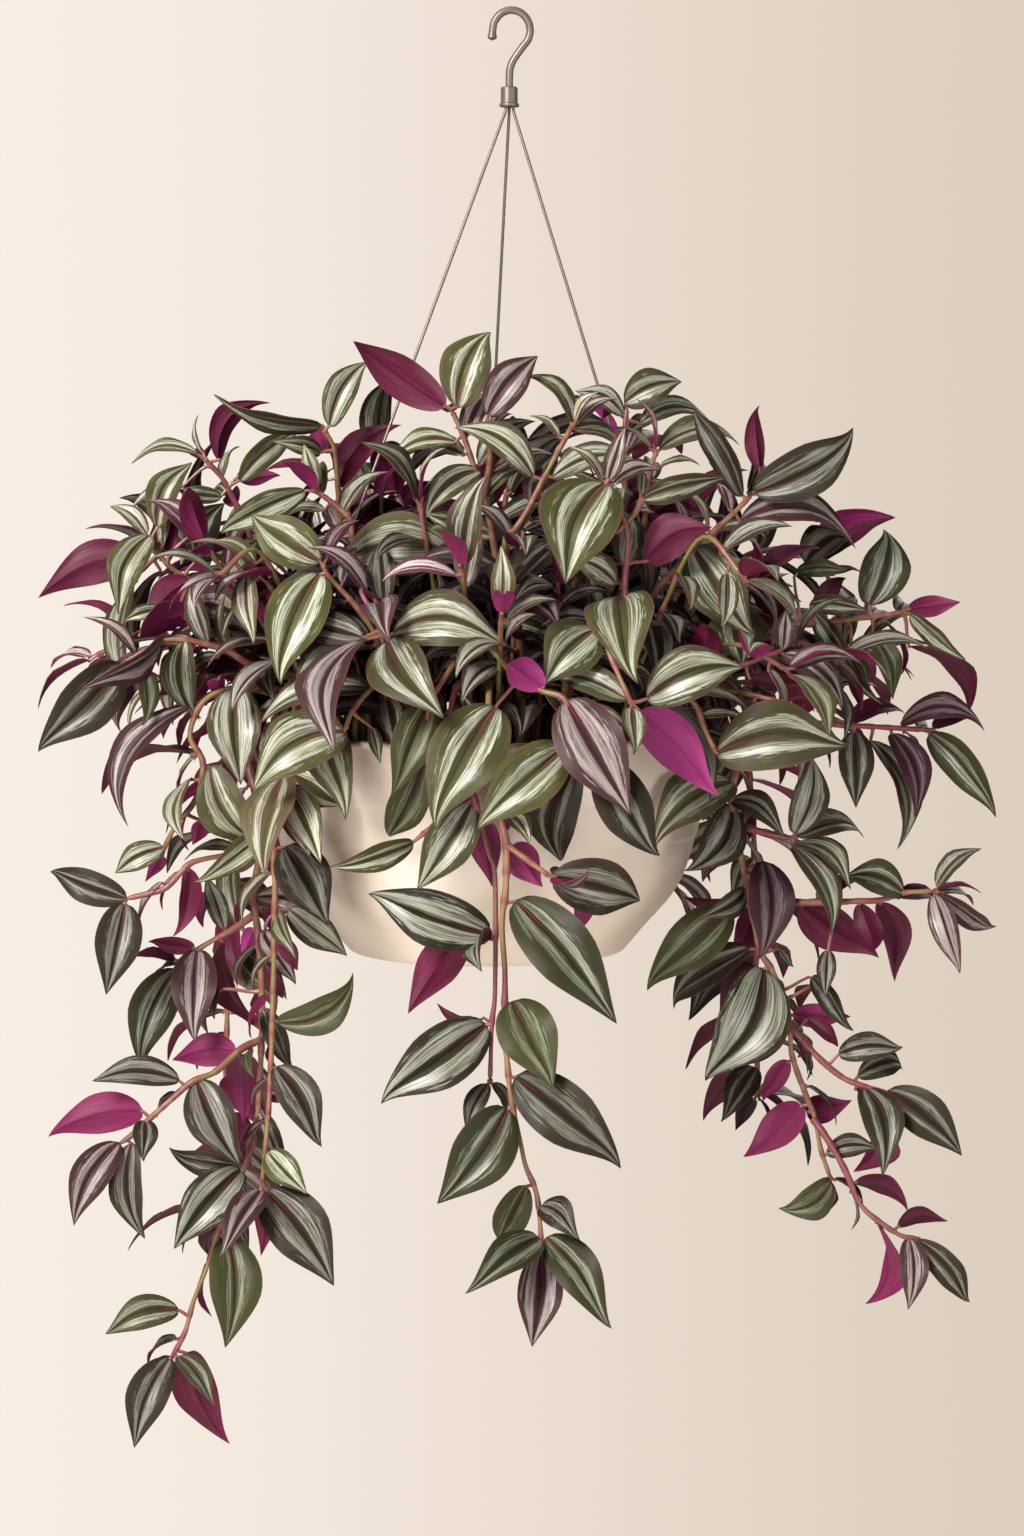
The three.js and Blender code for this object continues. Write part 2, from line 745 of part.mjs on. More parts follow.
// A leaf has its root on the stem's axis, the base and the tip of its blade, its upper normal, its width, and
// its bow, which is how far its middle lies beside the straight line, as a share of its length.
// This is the row of three points across the blade at a share of its length: left edge, midrib, right edge.
function bladePoints(leaf, share) {
  const { base, tip, normal, width, bow } = leaf;
  const axis = tip.clone().sub(base);
  const length = axis.length();
  const side = normal.clone().cross(axis).normalize();
  const curve = length * 4 * share * (1 - share);
  const middle = base.clone().addScaledVector(axis, share);
  middle.addScaledVector(normal, LEAF.arch * curve).addScaledVector(side, bow * curve);
  const half = (width / 2) * (share < LEAF.taperFrom ? 1 : LEAF.shoulder);
  const lift = LEAF.channel * half;
  const left = middle.clone().addScaledVector(side, -half).addScaledVector(normal, lift);
  const right = middle.clone().addScaledVector(side, half).addScaledVector(normal, lift);
  return [left, middle, right];
}

// The rows of a blade: the root, a row of left edge, midrib and right edge at each station, the tip.
function bladeRows(leaf, stations) {
  return [[leaf.root, leaf.root, leaf.root], ...stations.map((s) => bladePoints(leaf, s)),
    [leaf.tip, leaf.tip, leaf.tip]];
}

// Points spread over the blade, each with its share of the way from root to tip.
function bladeSamples(leaf) {
  const rows = bladeRows(leaf, LEAF.stations);
  const samples = [];
  for (let i = 0; i + 1 < rows.length; i++) {
    const span = rows[i][1].distanceTo(rows[i + 1][1]);
    const count = Math.max(1, Math.ceil(span / SAMPLE));
    const across = Math.max(1, Math.ceil((leaf.width / 2) / SAMPLE));
    for (let a = 0; a < count; a++) {
      for (let b = -across; b <= across; b++) {
        const edge = b < 0 ? 0 : 2;
        const t = a / count;
        const mix = Math.abs(b) / across;
        const low = rows[i][1].clone().lerp(rows[i][edge], mix);
        const high = rows[i + 1][1].clone().lerp(rows[i + 1][edge], mix);
        samples.push({ point: low.lerp(high, t), share: (i + t) / (rows.length - 1) });
      }
    }
  }
  samples.push({ point: leaf.tip, share: 1 });
  return samples;
}

function fits(samples, stem) {
  return samples.every(({ point, share }) => {
    if (nearPot(point)) return false;
    const held = room[cellOf(point.x, point.y, point.z)];
    if (held === 0) return true;
    if (held === SHARED || held >> 1 !== stem) return false;
    return held % 2 === 0 || share < OWN_SHARE;
  });
}

// Keeps the first form of a leaf that has room, and fills its place.
function settle(forms, stem) {
  for (const form of forms) {
    const leaf = form();
    const samples = bladeSamples(leaf);
    if (fits(samples, stem)) {
      fill(samples.map((s) => s.point), LEAF_MARGIN, 2 * stem + 1);
      return leaf;
    }
  }
  return null;
}

// A measured leaf keeps its place in the view; its tip moves nearer or farther until there is room.
function measuredForms([px, py, tx, ty, widthPx, face, bow = 0], places, turnSide) {
  const root = nearestSeen(places, [px, py]);
  const base = seen([px, py], root.y);
  const flat = base.distanceTo(seen([tx, ty], root.y));
  const droops = (ty - py) / Math.hypot(tx - px, ty - py);
  const lean = -LEAN * flat * droops * face;
  return SIZES.flatMap((size) => TIP_DEPTHS.map((more) => () => {
    const tip = base.clone().lerp(seen([tx, ty], root.y + lean + more), size);
    const axis = tip.clone().sub(base);
    const length = axis.length();
    const apparent = (widthPx * (VIEW.distance + root.y) * size) / VIEW.focal;
    const width = Math.max(apparent, LEAF.slimmest * length);
    const turn = Math.acos(apparent / width) * turnSide;
    const lens = V(0, -VIEW.distance, VIEW.height);
    const normal = lens.sub(base).multiplyScalar(face);
    axis.normalize();
    normal.addScaledVector(axis, -normal.dot(axis)).normalize().applyAxisAngle(axis, turn);
    return { root, base, tip, normal, width, bow: face * bow };
  }));
}

// A leaf of the rule: it leaves the stem to one side, upper face up and outwards.
function ruledForms(root, tangent, azimuth, length, broad, droop) {
  const across = Math.abs(tangent.z) > RULED.steep ? V(1, 0, 0) : UP;
  const first = tangent.clone().cross(across).normalize();
  return SIZES.flatMap((size) => SWINGS.map((swing) => () => {
    const axis = first.clone().applyAxisAngle(tangent, (azimuth + swing) * RADIAN).multiplyScalar(RULED.aside);
    axis.addScaledVector(tangent, RULED.along).addScaledVector(UP, -droop).normalize();
    const base = root.clone().addScaledVector(axis, RULED.stalk);
    const tip = base.clone().addScaledVector(axis, length * size);
    const normal = V(root.x - POT_AXIS_X, root.y, 0).normalize().multiplyScalar(RULED.faceOut).add(UP);
    normal.addScaledVector(axis, -normal.dot(axis)).normalize();
    return { root, base, tip, normal, width: broad * length * size, bow: 0 };
  }));
}

// A measured stem with its branches, and which of their places can carry measured leaves.
function measuredStem(spec) {
  const own = spec.route.map(([px, py, depth]) => seen([px, py], depth));
  const main = line([...startOf(spec.root, spec.over, own[0]), ...own], STEM_RADIUS);
  const first = least(main.places, (p) => p.distanceTo(own[0]));
  main.hidden = (main.length * first) / (main.places.length - 1);
  main.shown = main.places.slice(first);
  const branches = (spec.branches ?? []).map(({ route }) => {
    const points = route.map(([px, py, depth]) => seen([px, py], depth));
    points[0] = nearestSeen(main.shown, route[0]);
    const branch = line(points, BRANCH_RADIUS);
    return { ...branch, shown: branch.places };
  });
  return { name: spec.name, root: spec.root, lines: [main, ...branches], leaves: [], spec };
}

function hiddenStem({ habit: kind, azimuth, hang }, number, draw) {
  const habit = HABITS[kind];
  const drift = draw(-STRAY.degrees, STRAY.degrees);
  const path = habit.path.map(([radius, above], k) =>
    round(azimuth + drift * k, radius * draw(1 - STRAY.radius, 1 + STRAY.radius), RIM_Z + above));
  const last = path[path.length - 1];
  if (hang) path.push(last.clone().add(V(draw(-STRAY.aside, STRAY.aside), draw(0, STRAY.away), -hang)));
  const root = [azimuth, habit.root];
  const main = line([...startOf(root, undefined, path[0]), ...path], STEM_RADIUS);
  main.hidden = main.length;
  return { name: `${kind}_back_${number}`, root, lines: [main], leaves: [], habit };
}

// Grows every stem, then settles the leaves: the widest measured ones first, those of the rule last.
function grow() {
  const draw = draws(HIDDEN_SEED);
  const stems = [...MEASURED.map(measuredStem), ...HIDDEN.map((spec, i) => hiddenStem(spec, i + 1, draw))];
  stems.forEach((stem, i) => stem.lines.forEach(({ places }) => fill(places, STEM_MARGIN, 2 * (i + 1))));
  for (const degrees of Object.values(WIRE_AZIMUTHS)) fill(along(wirePath(degrees)), WIRE_MARGIN, SHARED);
  settleMeasured(stems);
  settleRuled(stems, draw);
  return stems;
}

function settleMeasured(stems) {
  const wanted = stems.filter(({ spec }) => spec).flatMap(({ spec, lines }, i) =>
    [spec, ...(spec.branches ?? [])].flatMap((group, k) =>
      group.leaves.map((leaf) => ({ leaf, i, places: lines[k].shown }))));
  const widthPx = ({ leaf }) => leaf[4];
  wanted.sort((a, b) => widthPx(b) - widthPx(a));
  wanted.forEach(({ leaf, i, places }, order) => {
    const turnSide = order % 2 ? 1 : -1;
    const forms = [turnSide, -turnSide].flatMap((side) => measuredForms(leaf, places, side));
    const settled = settle(forms, i + 1);
    if (settled) stems[i].leaves.push(settled);
  });
}

// Leaves on alternate sides, all along a hidden stem and on the hidden stretch of a measured one.
function settleRuled(stems, draw) {
  stems.forEach(({ lines: [main], habit, leaves }, i) => {
    const { length, nodes, hidden } = main;
    const [short, long] = habit ? habit.leaf : LEAF.length;
    let turn = draw(0, 360);
    for (let at = RULED.lowest; at < hidden; at += habit ? habit.pitch : RULED.pitch) {
      const share = at / length;
      const [before, after] = [-1, 1].map((side) => pointAt(nodes, share + side * RULED.tangentSpan));
      const tangent = after.sub(before).normalize();
      const size = draw(short, long);
      const broad = draw(...LEAF.width);
      turn += 180 + draw(-RULED.wander, RULED.wander);
      const forms = ruledForms(pointAt(nodes, share), tangent, turn, size, broad, draw(...RULED.droop));
      const leaf = settle(forms, i + 1);
      if (leaf) leaves.push(leaf);
    }
    if (!habit) return;
    const [before, end] = nodes.slice(-2);
    const tangent = end.clone().sub(before).normalize();
    const root = end.clone().addScaledVector(tangent, -1);
    const leaf = settle(ruledForms(root, tangent, turn + RULED.lastTurn, long, LEAF.width[0], 0), i + 1);
    if (leaf) leaves.push(leaf);
  });
}

// Solids

function solidOf(geometry) {
  const bare = geometry.index ? geometry.toNonIndexed() : geometry.clone();
  bare.deleteAttribute("normal");
  bare.deleteAttribute("uv");
  const merged = mergeVertices(bare, 1e-4);
  return new wasm.Manifold(new wasm.Mesh({
    numProp: 3,
    vertProperties: merged.attributes.position.array,
    triVerts: new Uint32Array(merged.index.array),
  }));
}

function geometryOf(solid) {
  const { vertProperties, triVerts } = solid.getMesh();
  const geometry = new THREE.BufferGeometry();
  geometry.setAttribute("position", new THREE.BufferAttribute(vertProperties, 3));
  geometry.setIndex(new THREE.BufferAttribute(triVerts, 1));
  geometry.computeVertexNormals();
  return geometry;
}

function polygon(radius, sides) {
  const corners = Array.from({ length: sides }, (_, i) => {
    const a = (2 * Math.PI * (i + 0.5)) / sides;
    return new THREE.Vector2(radius * Math.cos(a), radius * Math.sin(a));
  });
  return new THREE.Shape(corners);
}

// A path of straight pieces whose corners are its sections, each turned half way round its corner.
class Cornered extends THREE.Curve {
  constructor(corners) {
    super();
    this.corners = corners;
  }

  getPointAt(share) {
    return pointAt(this.corners, share);
  }

  getTangentAt(share) {
    const { corners } = this;
    const i = Math.round(share * (corners.length - 1));
    const before = corners[i].clone().sub(corners[Math.max(i - 1, 0)]).normalize();
    const after = corners[Math.min(i + 1, corners.length - 1)].clone().sub(corners[i]).normalize();
    return before.add(after).normalize();
  }
}

function tube(corners, radius, sides) {
  const path = new Cornered(corners);
  const steps = corners.length - 1;
  return new THREE.ExtrudeGeometry(polygon(radius, sides), { steps, extrudePath: path, bevelEnabled: false });
}

// An upright cylinder or prism from one height to another.
function post(x, y, low, high, radius, sides) {
  const geometry = new THREE.CylinderGeometry(radius, radius, high - low, sides);
  return geometry.rotateX(Math.PI / 2).translate(x, y, (low + high) / 2);
}

function turned(profile, sides) {
  const points = profile.map(([r, z]) => new THREE.Vector2(r, z));
  return new THREE.LatheGeometry(points, sides).rotateX(Math.PI / 2);
}

// A blade: its rows drawn twice, half a thickness to each side, split alike and joined round the edge.
function bladeGeometry(leaf) {
  const rows = bladeRows(leaf, leaf.width < LEAF.broadFrom ? LEAF.narrowStation : LEAF.stations);
  const ends = [rows[0][1], rows[rows.length - 1][1]];
  const middle = rows.slice(1, -1);
  const position = [];
  const push = (p, half) => {
    const moved = p.clone().addScaledVector(leaf.normal, (half * BLADE_THICK) / 2);
    position.push(moved.x, moved.y, moved.z);
  };
  const face = (a, b, c) => {
    [a, b, c].forEach((p) => push(p, 1));
    [a, c, b].forEach((p) => push(p, -1));
  };
  const [first, last] = [middle[0], middle[middle.length - 1]];
  face(ends[0], first[0], first[1]);
  face(ends[0], first[1], first[2]);
  for (let i = 0; i + 1 < middle.length; i++) {
    const [low, high] = [middle[i], middle[i + 1]];
    face(low[0], high[0], high[1]);
    face(low[0], high[1], low[1]);
    face(low[1], high[1], high[2]);
    face(low[1], high[2], low[2]);
  }
  face(last[0], ends[1], last[1]);
  face(last[1], ends[1], last[2]);
  const outline = [ends[0], ...middle.map((row) => row[0]), ends[1], ...middle.map((row) => row[2]).reverse()];
  outline.forEach((p, i) => {
    const q = outline[(i + 1) % outline.length];
    [[p, 1], [p, -1], [q, -1]].forEach(([v, half]) => push(v, half));
    [[p, 1], [q, -1], [q, 1]].forEach(([v, half]) => push(v, half));
  });
  const geometry = new THREE.BufferGeometry();
  geometry.setAttribute("position", new THREE.Float32BufferAttribute(position, 3));
  return geometry;
}

const STEM_SIDES = 3;

function stemSolid(stem) {
  const tubes = stem.lines.map(({ nodes, radius }) => solidOf(tube(nodes, radius, STEM_SIDES)));
  const blades = stem.leaves.map((leaf) => solidOf(bladeGeometry(leaf)));
  return [...tubes, ...blades].reduce((whole, piece) => whole.add(piece));
}

// The pot: a closed outline turned round its axis, with a flange at the rim and fine steps below it.

const POT_BASE_Z = RIM_Z - POT_HEIGHT;
const POT_INSIDE_FLOOR = 3;
const POT_STEPS = [27, 88]; // heights of the fine steps round its outside
const POT_STEP = { out: 0.5, rise: 0.01 };
const FLANGE_BEVEL = 0.8;
const DRAIN_HOLE_SIDES = 8;
const WIRE_SIDES = 6;
const CUT_PAST = 1; // how far a cut reaches past the face it opens

function potProfile() {
  const outer = [...POT_OUTSIDE];
  for (const height of POT_STEPS) {
    const r = potRadius(height);
    outer.push([r - POT_STEP.out / 2, height - POT_STEP.rise], [r + POT_STEP.out / 2, height]);
  }
  outer.sort((a, b) => a[1] - b[1]);
  const underFlange = POT_HEIGHT - FLANGE_THICK;
  const wall = outer.filter(([, h]) => h < underFlange);
  const inner = POT_OUTSIDE.filter(([, h]) => h >= POT_INSIDE_FLOOR).map(([r, h]) => [r - POT_WALL, h]);
  const profile = [
    [0, 0],
    ...wall,
    [potRadius(underFlange), underFlange],
    [FLANGE_RADIUS - FLANGE_BEVEL, underFlange],
    [FLANGE_RADIUS, POT_HEIGHT - FLANGE_THICK / 2],
    [FLANGE_RADIUS - FLANGE_BEVEL, POT_HEIGHT],
    ...inner.reverse(),
    [potRadius(POT_INSIDE_FLOOR) - POT_WALL, POT_INSIDE_FLOOR],
    [0, POT_INSIDE_FLOOR],
  ];
  return profile.map(([r, h]) => [r, POT_BASE_Z + h]);
}

function potSolid() {
  let pot = solidOf(turned(potProfile(), POT_SIDES).translate(POT_AXIS_X, 0, 0));
  const cut = (at, low, high, radius, sides) => {
    pot = pot.subtract(solidOf(post(at.x, at.y, low - CUT_PAST, high + CUT_PAST, radius, sides)));
  };
  for (let i = 0; i < DRAIN_HOLE.count; i++) {
    const at = round((360 / DRAIN_HOLE.count) * i + DRAIN_HOLE.first, DRAIN_HOLE.ring, 0);
    cut(at, POT_BASE_Z, POT_BASE_Z + POT_INSIDE_FLOOR, DRAIN_HOLE.radius, DRAIN_HOLE_SIDES);
  }
  for (const degrees of Object.values(WIRE_AZIMUTHS)) {
    const at = round(degrees, WIRE_RING_RADIUS, 0);
    cut(at, RIM_Z - FLANGE_THICK, RIM_Z, WIRE_RADIUS + WIRE_HOLE_CLEAR, WIRE_SIDES);
  }
  return pot;
}

// Soil fills the pot to a little below the rim, with one plain hole for each stem.

const STEM_HOLE_SIDES = 4;
const STEM_HOLE_RADIUS = (STEM_RADIUS + 2 * CLEAR) / Math.cos(Math.PI / STEM_HOLE_SIDES);
const SOIL_CROWN = { rise: 3, radius: 60 }; // it lies a little higher in the middle

function soilSolid(stems) {
  const low = POT_INSIDE_FLOOR + CLEAR;
  const edge = POT_HEIGHT - SOIL_DROP - SOIL_CROWN.rise;
  const top = POT_HEIGHT - SOIL_DROP;
  const snug = POT_WALL + 2 * CLEAR;
  const wall = POT_OUTSIDE.filter(([, h]) => h > low && h < edge).map(([r, h]) => [r - snug, h]);
  const profile = [[0, low], [potRadius(low) - snug, low], ...wall, [potRadius(edge) - snug, edge],
    [SOIL_CROWN.radius, top], [0, top]];
  const shape = profile.map(([r, h]) => [r, POT_BASE_Z + h]);
  let soil = solidOf(turned(shape, POT_SIDES).translate(POT_AXIS_X, 0, 0));
  for (const { root: [degrees, radius] } of stems) {
    const { x, y } = round(degrees, radius, 0);
    const hole = post(x, y, SOIL_Z - STEM_HOLE_DEPTH, SOIL_Z + CUT_PAST, STEM_HOLE_RADIUS, STEM_HOLE_SIDES);
    soil = soil.subtract(solidOf(hole));
  }
  return soil;
}

// The collar grips the shank of the hook from above and the three wires from below.

function gripPoint(degrees, z) {
  const ring = COLLAR.wireRing;
  return V(HANGER_X + ring * Math.cos(degrees * RADIAN), ring * Math.sin(degrees * RADIAN), z);
}

function collarSolid() {
  const { topZ, bottomZ, radius, lipRadius, lip, bevel } = COLLAR;
  const profile = [[0, bottomZ], [lipRadius, bottomZ], [lipRadius, bottomZ + lip],
    [radius, bottomZ + lip + bevel], [radius, topZ - bevel], [radius - bevel, topZ], [0, topZ]];
  let collar = solidOf(turned(profile, COLLAR.sides).translate(HANGER_X, 0, 0));
  for (const degrees of Object.values(WIRE_AZIMUTHS)) {
    const { x, y } = gripPoint(degrees, 0);
    const top = bottomZ + COLLAR.wireGrip + CLEAR;
    const hole = post(x, y, bottomZ - CUT_PAST, top, WIRE_RADIUS + WIRE_HOLE_CLEAR, WIRE_SIDES);
    collar = collar.subtract(solidOf(hole));
  }
  const floor = topZ - COLLAR.shankGrip - CLEAR;
  const holeRadius = HOOK.barRadius + 2 * CLEAR;
  const shankHole = post(HANGER_X, 0, floor, topZ + CUT_PAST, holeRadius, COLLAR.shankHoleSides);
  return collar.subtract(solidOf(shankHole));
}

// The wires run straight from the collar to the rim and through the flange, and end in a short foot under it.

function wirePath(degrees) {
  const under = RIM_Z - FLANGE_THICK - WIRE_RADIUS - 3 * CLEAR;
  return [
    gripPoint(degrees, COLLAR.bottomZ + COLLAR.wireGrip),
    gripPoint(degrees, COLLAR.bottomZ - COLLAR.wireBend),
    round(degrees, WIRE_RING_RADIUS, RIM_Z + WIRE_BEND),
    round(degrees, WIRE_RING_RADIUS, under),
    round(degrees + WIRE_FOOT, WIRE_RING_RADIUS, under),
  ];
}

const wireSolid = (degrees) => solidOf(tube(wirePath(degrees), WIRE_RADIUS, WIRE_SIDES));

// The hook: a bar bent into an open loop above its shank, with a rounded knob at its free end.

function hookSolid() {
  const { barRadius, knobRadius, halfWidth, halfHeight, loopX, tip, arc, neck } = HOOK;
  const centreZ = barRadius - halfHeight;
  const onLoop = arc.map((degrees) =>
    V(loopX + halfWidth * Math.cos(degrees * RADIAN), 0, centreZ + halfHeight * Math.sin(degrees * RADIAN)));
  const end = V(tip[0], 0, tip[1]);
  const below = [...neck, [HANGER_X, COLLAR.topZ - COLLAR.shankGrip]].map(([x, z]) => V(x, 0, z));
  const curve = new THREE.CatmullRomCurve3([end, ...onLoop, ...below], false, "centripetal");
  const bar = solidOf(tube(curve.getSpacedPoints(HOOK.steps), barRadius, HOOK.sides));
  const knob = new THREE.SphereGeometry(knobRadius, ...HOOK.knobSides).translate(end.x, 0, end.z);
  return bar.add(solidOf(knob));
}

// Assembly

const MATERIALS = {
  pot: { color: 0xded0c0, roughness: 0.32, metalness: 0 },
  soil: { color: 0x2b201a, roughness: 0.95, metalness: 0 },
  metal: { color: 0x968c7d, roughness: 0.35, metalness: 0.4 },
  leaves: { color: 0x6f7f58, roughness: 0.45, metalness: 0 },
};

function piece(name, solid, look) {
  const mesh = new THREE.Mesh(geometryOf(solid), new THREE.MeshStandardMaterial(MATERIALS[look]));
  mesh.name = name;
  return mesh;
}

const plant = grow();
const group = new THREE.Group();
group.add(piece("pot", potSolid(), "pot"));
group.add(piece("soil", soilSolid(plant), "soil"));
group.add(piece("collar", collarSolid(), "metal"));
group.add(piece("hook", hookSolid(), "metal"));
for (const [side, degrees] of Object.entries(WIRE_AZIMUTHS)) {
  group.add(piece(`wire_${side}`, wireSolid(degrees), "metal"));
}
for (const stem of plant) group.add(piece(stem.name, stemSolid(stem), "leaves"));

export default group;
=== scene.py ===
# %% [markdown]
# # A hanging pot of striped inch plant
#
# The object is a potted trailing houseplant. An ivory plastic pot hangs from a hook by three wires. It is
# full of soil, and leafy stems stand up in its crown and hang far below it. The leaves are dark green with
# two silver bands above, and purple below.
#
# A CAD model of the same plant is already there, with few faces: each leafy stem is one solid of flat
# blades. This lesson loads it, works out again where each stem and leaf is, and dresses the plant: every
# coarse stem is replaced by a fine one in the same place, and small leaves, veins, colour and light are
# added. It keeps the box of the CAD model, so that the real size stays as it is.

import math

import bpy
import numpy as np
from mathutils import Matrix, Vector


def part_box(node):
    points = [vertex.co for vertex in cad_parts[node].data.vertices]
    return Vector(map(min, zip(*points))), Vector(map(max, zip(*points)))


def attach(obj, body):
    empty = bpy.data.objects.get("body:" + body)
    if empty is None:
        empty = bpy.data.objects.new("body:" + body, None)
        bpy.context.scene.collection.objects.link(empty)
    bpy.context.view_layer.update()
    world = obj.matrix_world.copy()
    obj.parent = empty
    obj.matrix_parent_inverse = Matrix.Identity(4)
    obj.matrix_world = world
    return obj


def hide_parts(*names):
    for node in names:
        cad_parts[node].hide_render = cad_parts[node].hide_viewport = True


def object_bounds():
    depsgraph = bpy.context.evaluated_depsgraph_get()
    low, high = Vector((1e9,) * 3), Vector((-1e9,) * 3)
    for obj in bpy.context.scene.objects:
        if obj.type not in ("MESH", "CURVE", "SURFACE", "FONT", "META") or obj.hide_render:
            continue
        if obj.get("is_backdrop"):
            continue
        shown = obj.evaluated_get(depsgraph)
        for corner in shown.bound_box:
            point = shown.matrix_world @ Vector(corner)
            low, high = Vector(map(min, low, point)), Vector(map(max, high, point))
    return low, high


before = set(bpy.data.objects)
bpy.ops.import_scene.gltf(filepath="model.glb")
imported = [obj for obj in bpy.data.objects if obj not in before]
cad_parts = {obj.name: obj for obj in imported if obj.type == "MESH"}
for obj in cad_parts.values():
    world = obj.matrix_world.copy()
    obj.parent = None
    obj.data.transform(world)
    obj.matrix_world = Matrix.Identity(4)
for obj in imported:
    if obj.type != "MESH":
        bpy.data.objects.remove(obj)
cad_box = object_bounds()
MM = 0.001
print("CAD box in mm:", [[round(x / MM) for x in corner] for corner in cad_box])

# %% [markdown]
# ## The camera
#
# The picture was taken with a long lens, two metres in front of the pot and looking slightly down. The stems
# are placed through this camera: a pixel gives two coordinates, and a depth that we choose gives the third.
# `seen` turns them into a point in millimetres, `pixel_of` goes back.

# %% Camera, and the way from the picture to the room
PICTURE = (1024, 1536)
LENS = 85.0
SENSOR = 36.0
CAMERA_AWAY = 2000.0
CAMERA_HEIGHT = -257.8
CAMERA_PITCH = 4.4

camera = bpy.data.objects.new("camera", bpy.data.cameras.new("camera"))
camera.data.lens = LENS
camera.data.sensor_width = SENSOR
camera.location = (0, -CAMERA_AWAY * MM, CAMERA_HEIGHT * MM)
camera.rotation_euler = (math.radians(90 - CAMERA_PITCH), 0, 0)
bpy.context.scene.collection.objects.link(camera)
bpy.context.scene.camera = camera

FOCAL = 3626.67  # the lens in pixels of the picture's long side
PITCH_COS = math.cos(CAMERA_PITCH * math.pi / 180)
PITCH_SIN = math.sin(CAMERA_PITCH * math.pi / 180)


def point(*xyz):
    """A point or a direction, as an array."""
    return np.array(xyz, float)


def seen(px, py, depth):
    """The point in mm that shows at a pixel, depth mm behind the pot's axis: the ray through the pixel,
    followed until it reaches that depth."""
    across = (px - PICTURE[0] / 2) / FOCAL
    up = (PICTURE[1] / 2 - py) / FOCAL
    reach = (CAMERA_AWAY + depth) / (PITCH_COS + up * PITCH_SIN)
    return point(across * reach, depth, CAMERA_HEIGHT + reach * (up * PITCH_COS - PITCH_SIN))


def pixel_of(places):
    """The pixels at which points show: each is divided by its distance along the view."""
    ahead = CAMERA_AWAY + places[:, 1]
    above = places[:, 2] - CAMERA_HEIGHT
    reach = ahead * PITCH_COS - above * PITCH_SIN
    px = PICTURE[0] / 2 + FOCAL * places[:, 0] / reach
    py = PICTURE[1] / 2 - FOCAL * (above * PITCH_COS + ahead * PITCH_SIN) / reach
    return np.stack([px, py], axis=1)


print("the hook's bend shows at pixel", pixel_of(point(0, 0, 0)[None])[0].round())


# %% [markdown]
# ## The pot's measures
#
# The stems pass the rim and the wires, so the pot's measures come first. They are the CAD model's own, in
# millimetres, and heights on the pot count up from its base.

# %% Measures of the pot and its hanger
UP = point(0, 0, 1)
CLEAR = 0.3
POT_AXIS_X = -14.0
RIM_Z = -389.5
POT_HEIGHT = 123.0
POT_BASE_Z = RIM_Z - POT_HEIGHT
POT_OUTSIDE = np.array([(77, 0), (85.5, 10), (105, 34), (113.6, 54), (122, 90), (126, POT_HEIGHT)])
FLANGE_RADIUS = 135.0
FLANGE_THICK = 3.0
SOIL_Z = RIM_Z - 15
STEM_HOLE_DEPTH = 10
WIRE_RADIUS = 0.85
WIRE_RING_RADIUS = 130.5
WIRE_AZIMUTHS = {"left": 212.6, "back": 92.6, "right": 332.6}
WIRE_FOOT = 2.4
WIRE_BEND = 6
HANGER_X = -1.4
COLLAR_TOP_Z = -39.3
COLLAR_BOTTOM_Z = -50.0
WIRE_GRIP_RING = 2.3
WIRE_GRIP = 6
WIRE_SPREAD = 2


def round_pot(degrees, radius, z):
    """A point round the pot: degrees from +X towards the back, mm from the pot's axis, height."""
    angle = degrees * math.pi / 180
    return point(POT_AXIS_X + radius * math.cos(angle), radius * math.sin(angle), z)


def wire_path(degrees):
    """A wire: inside the collar, straight down to the rim, through the flange, and a foot under it."""
    angle = degrees * math.pi / 180
    grip = HANGER_X + WIRE_GRIP_RING * math.cos(angle), WIRE_GRIP_RING * math.sin(angle)
    under = RIM_Z - FLANGE_THICK - WIRE_RADIUS - 3 * CLEAR
    corners = [
        point(*grip, COLLAR_BOTTOM_Z + WIRE_GRIP),
        point(*grip, COLLAR_BOTTOM_Z - WIRE_SPREAD),
        round_pot(degrees, WIRE_RING_RADIUS, RIM_Z + WIRE_BEND),
        round_pot(degrees, WIRE_RING_RADIUS, under),
        round_pot(degrees + WIRE_FOOT, WIRE_RING_RADIUS, under),
    ]
    return np.array(corners)


print("pot axis and rim show at pixel", pixel_of(point(POT_AXIS_X, 0, RIM_Z)[None])[0].round())
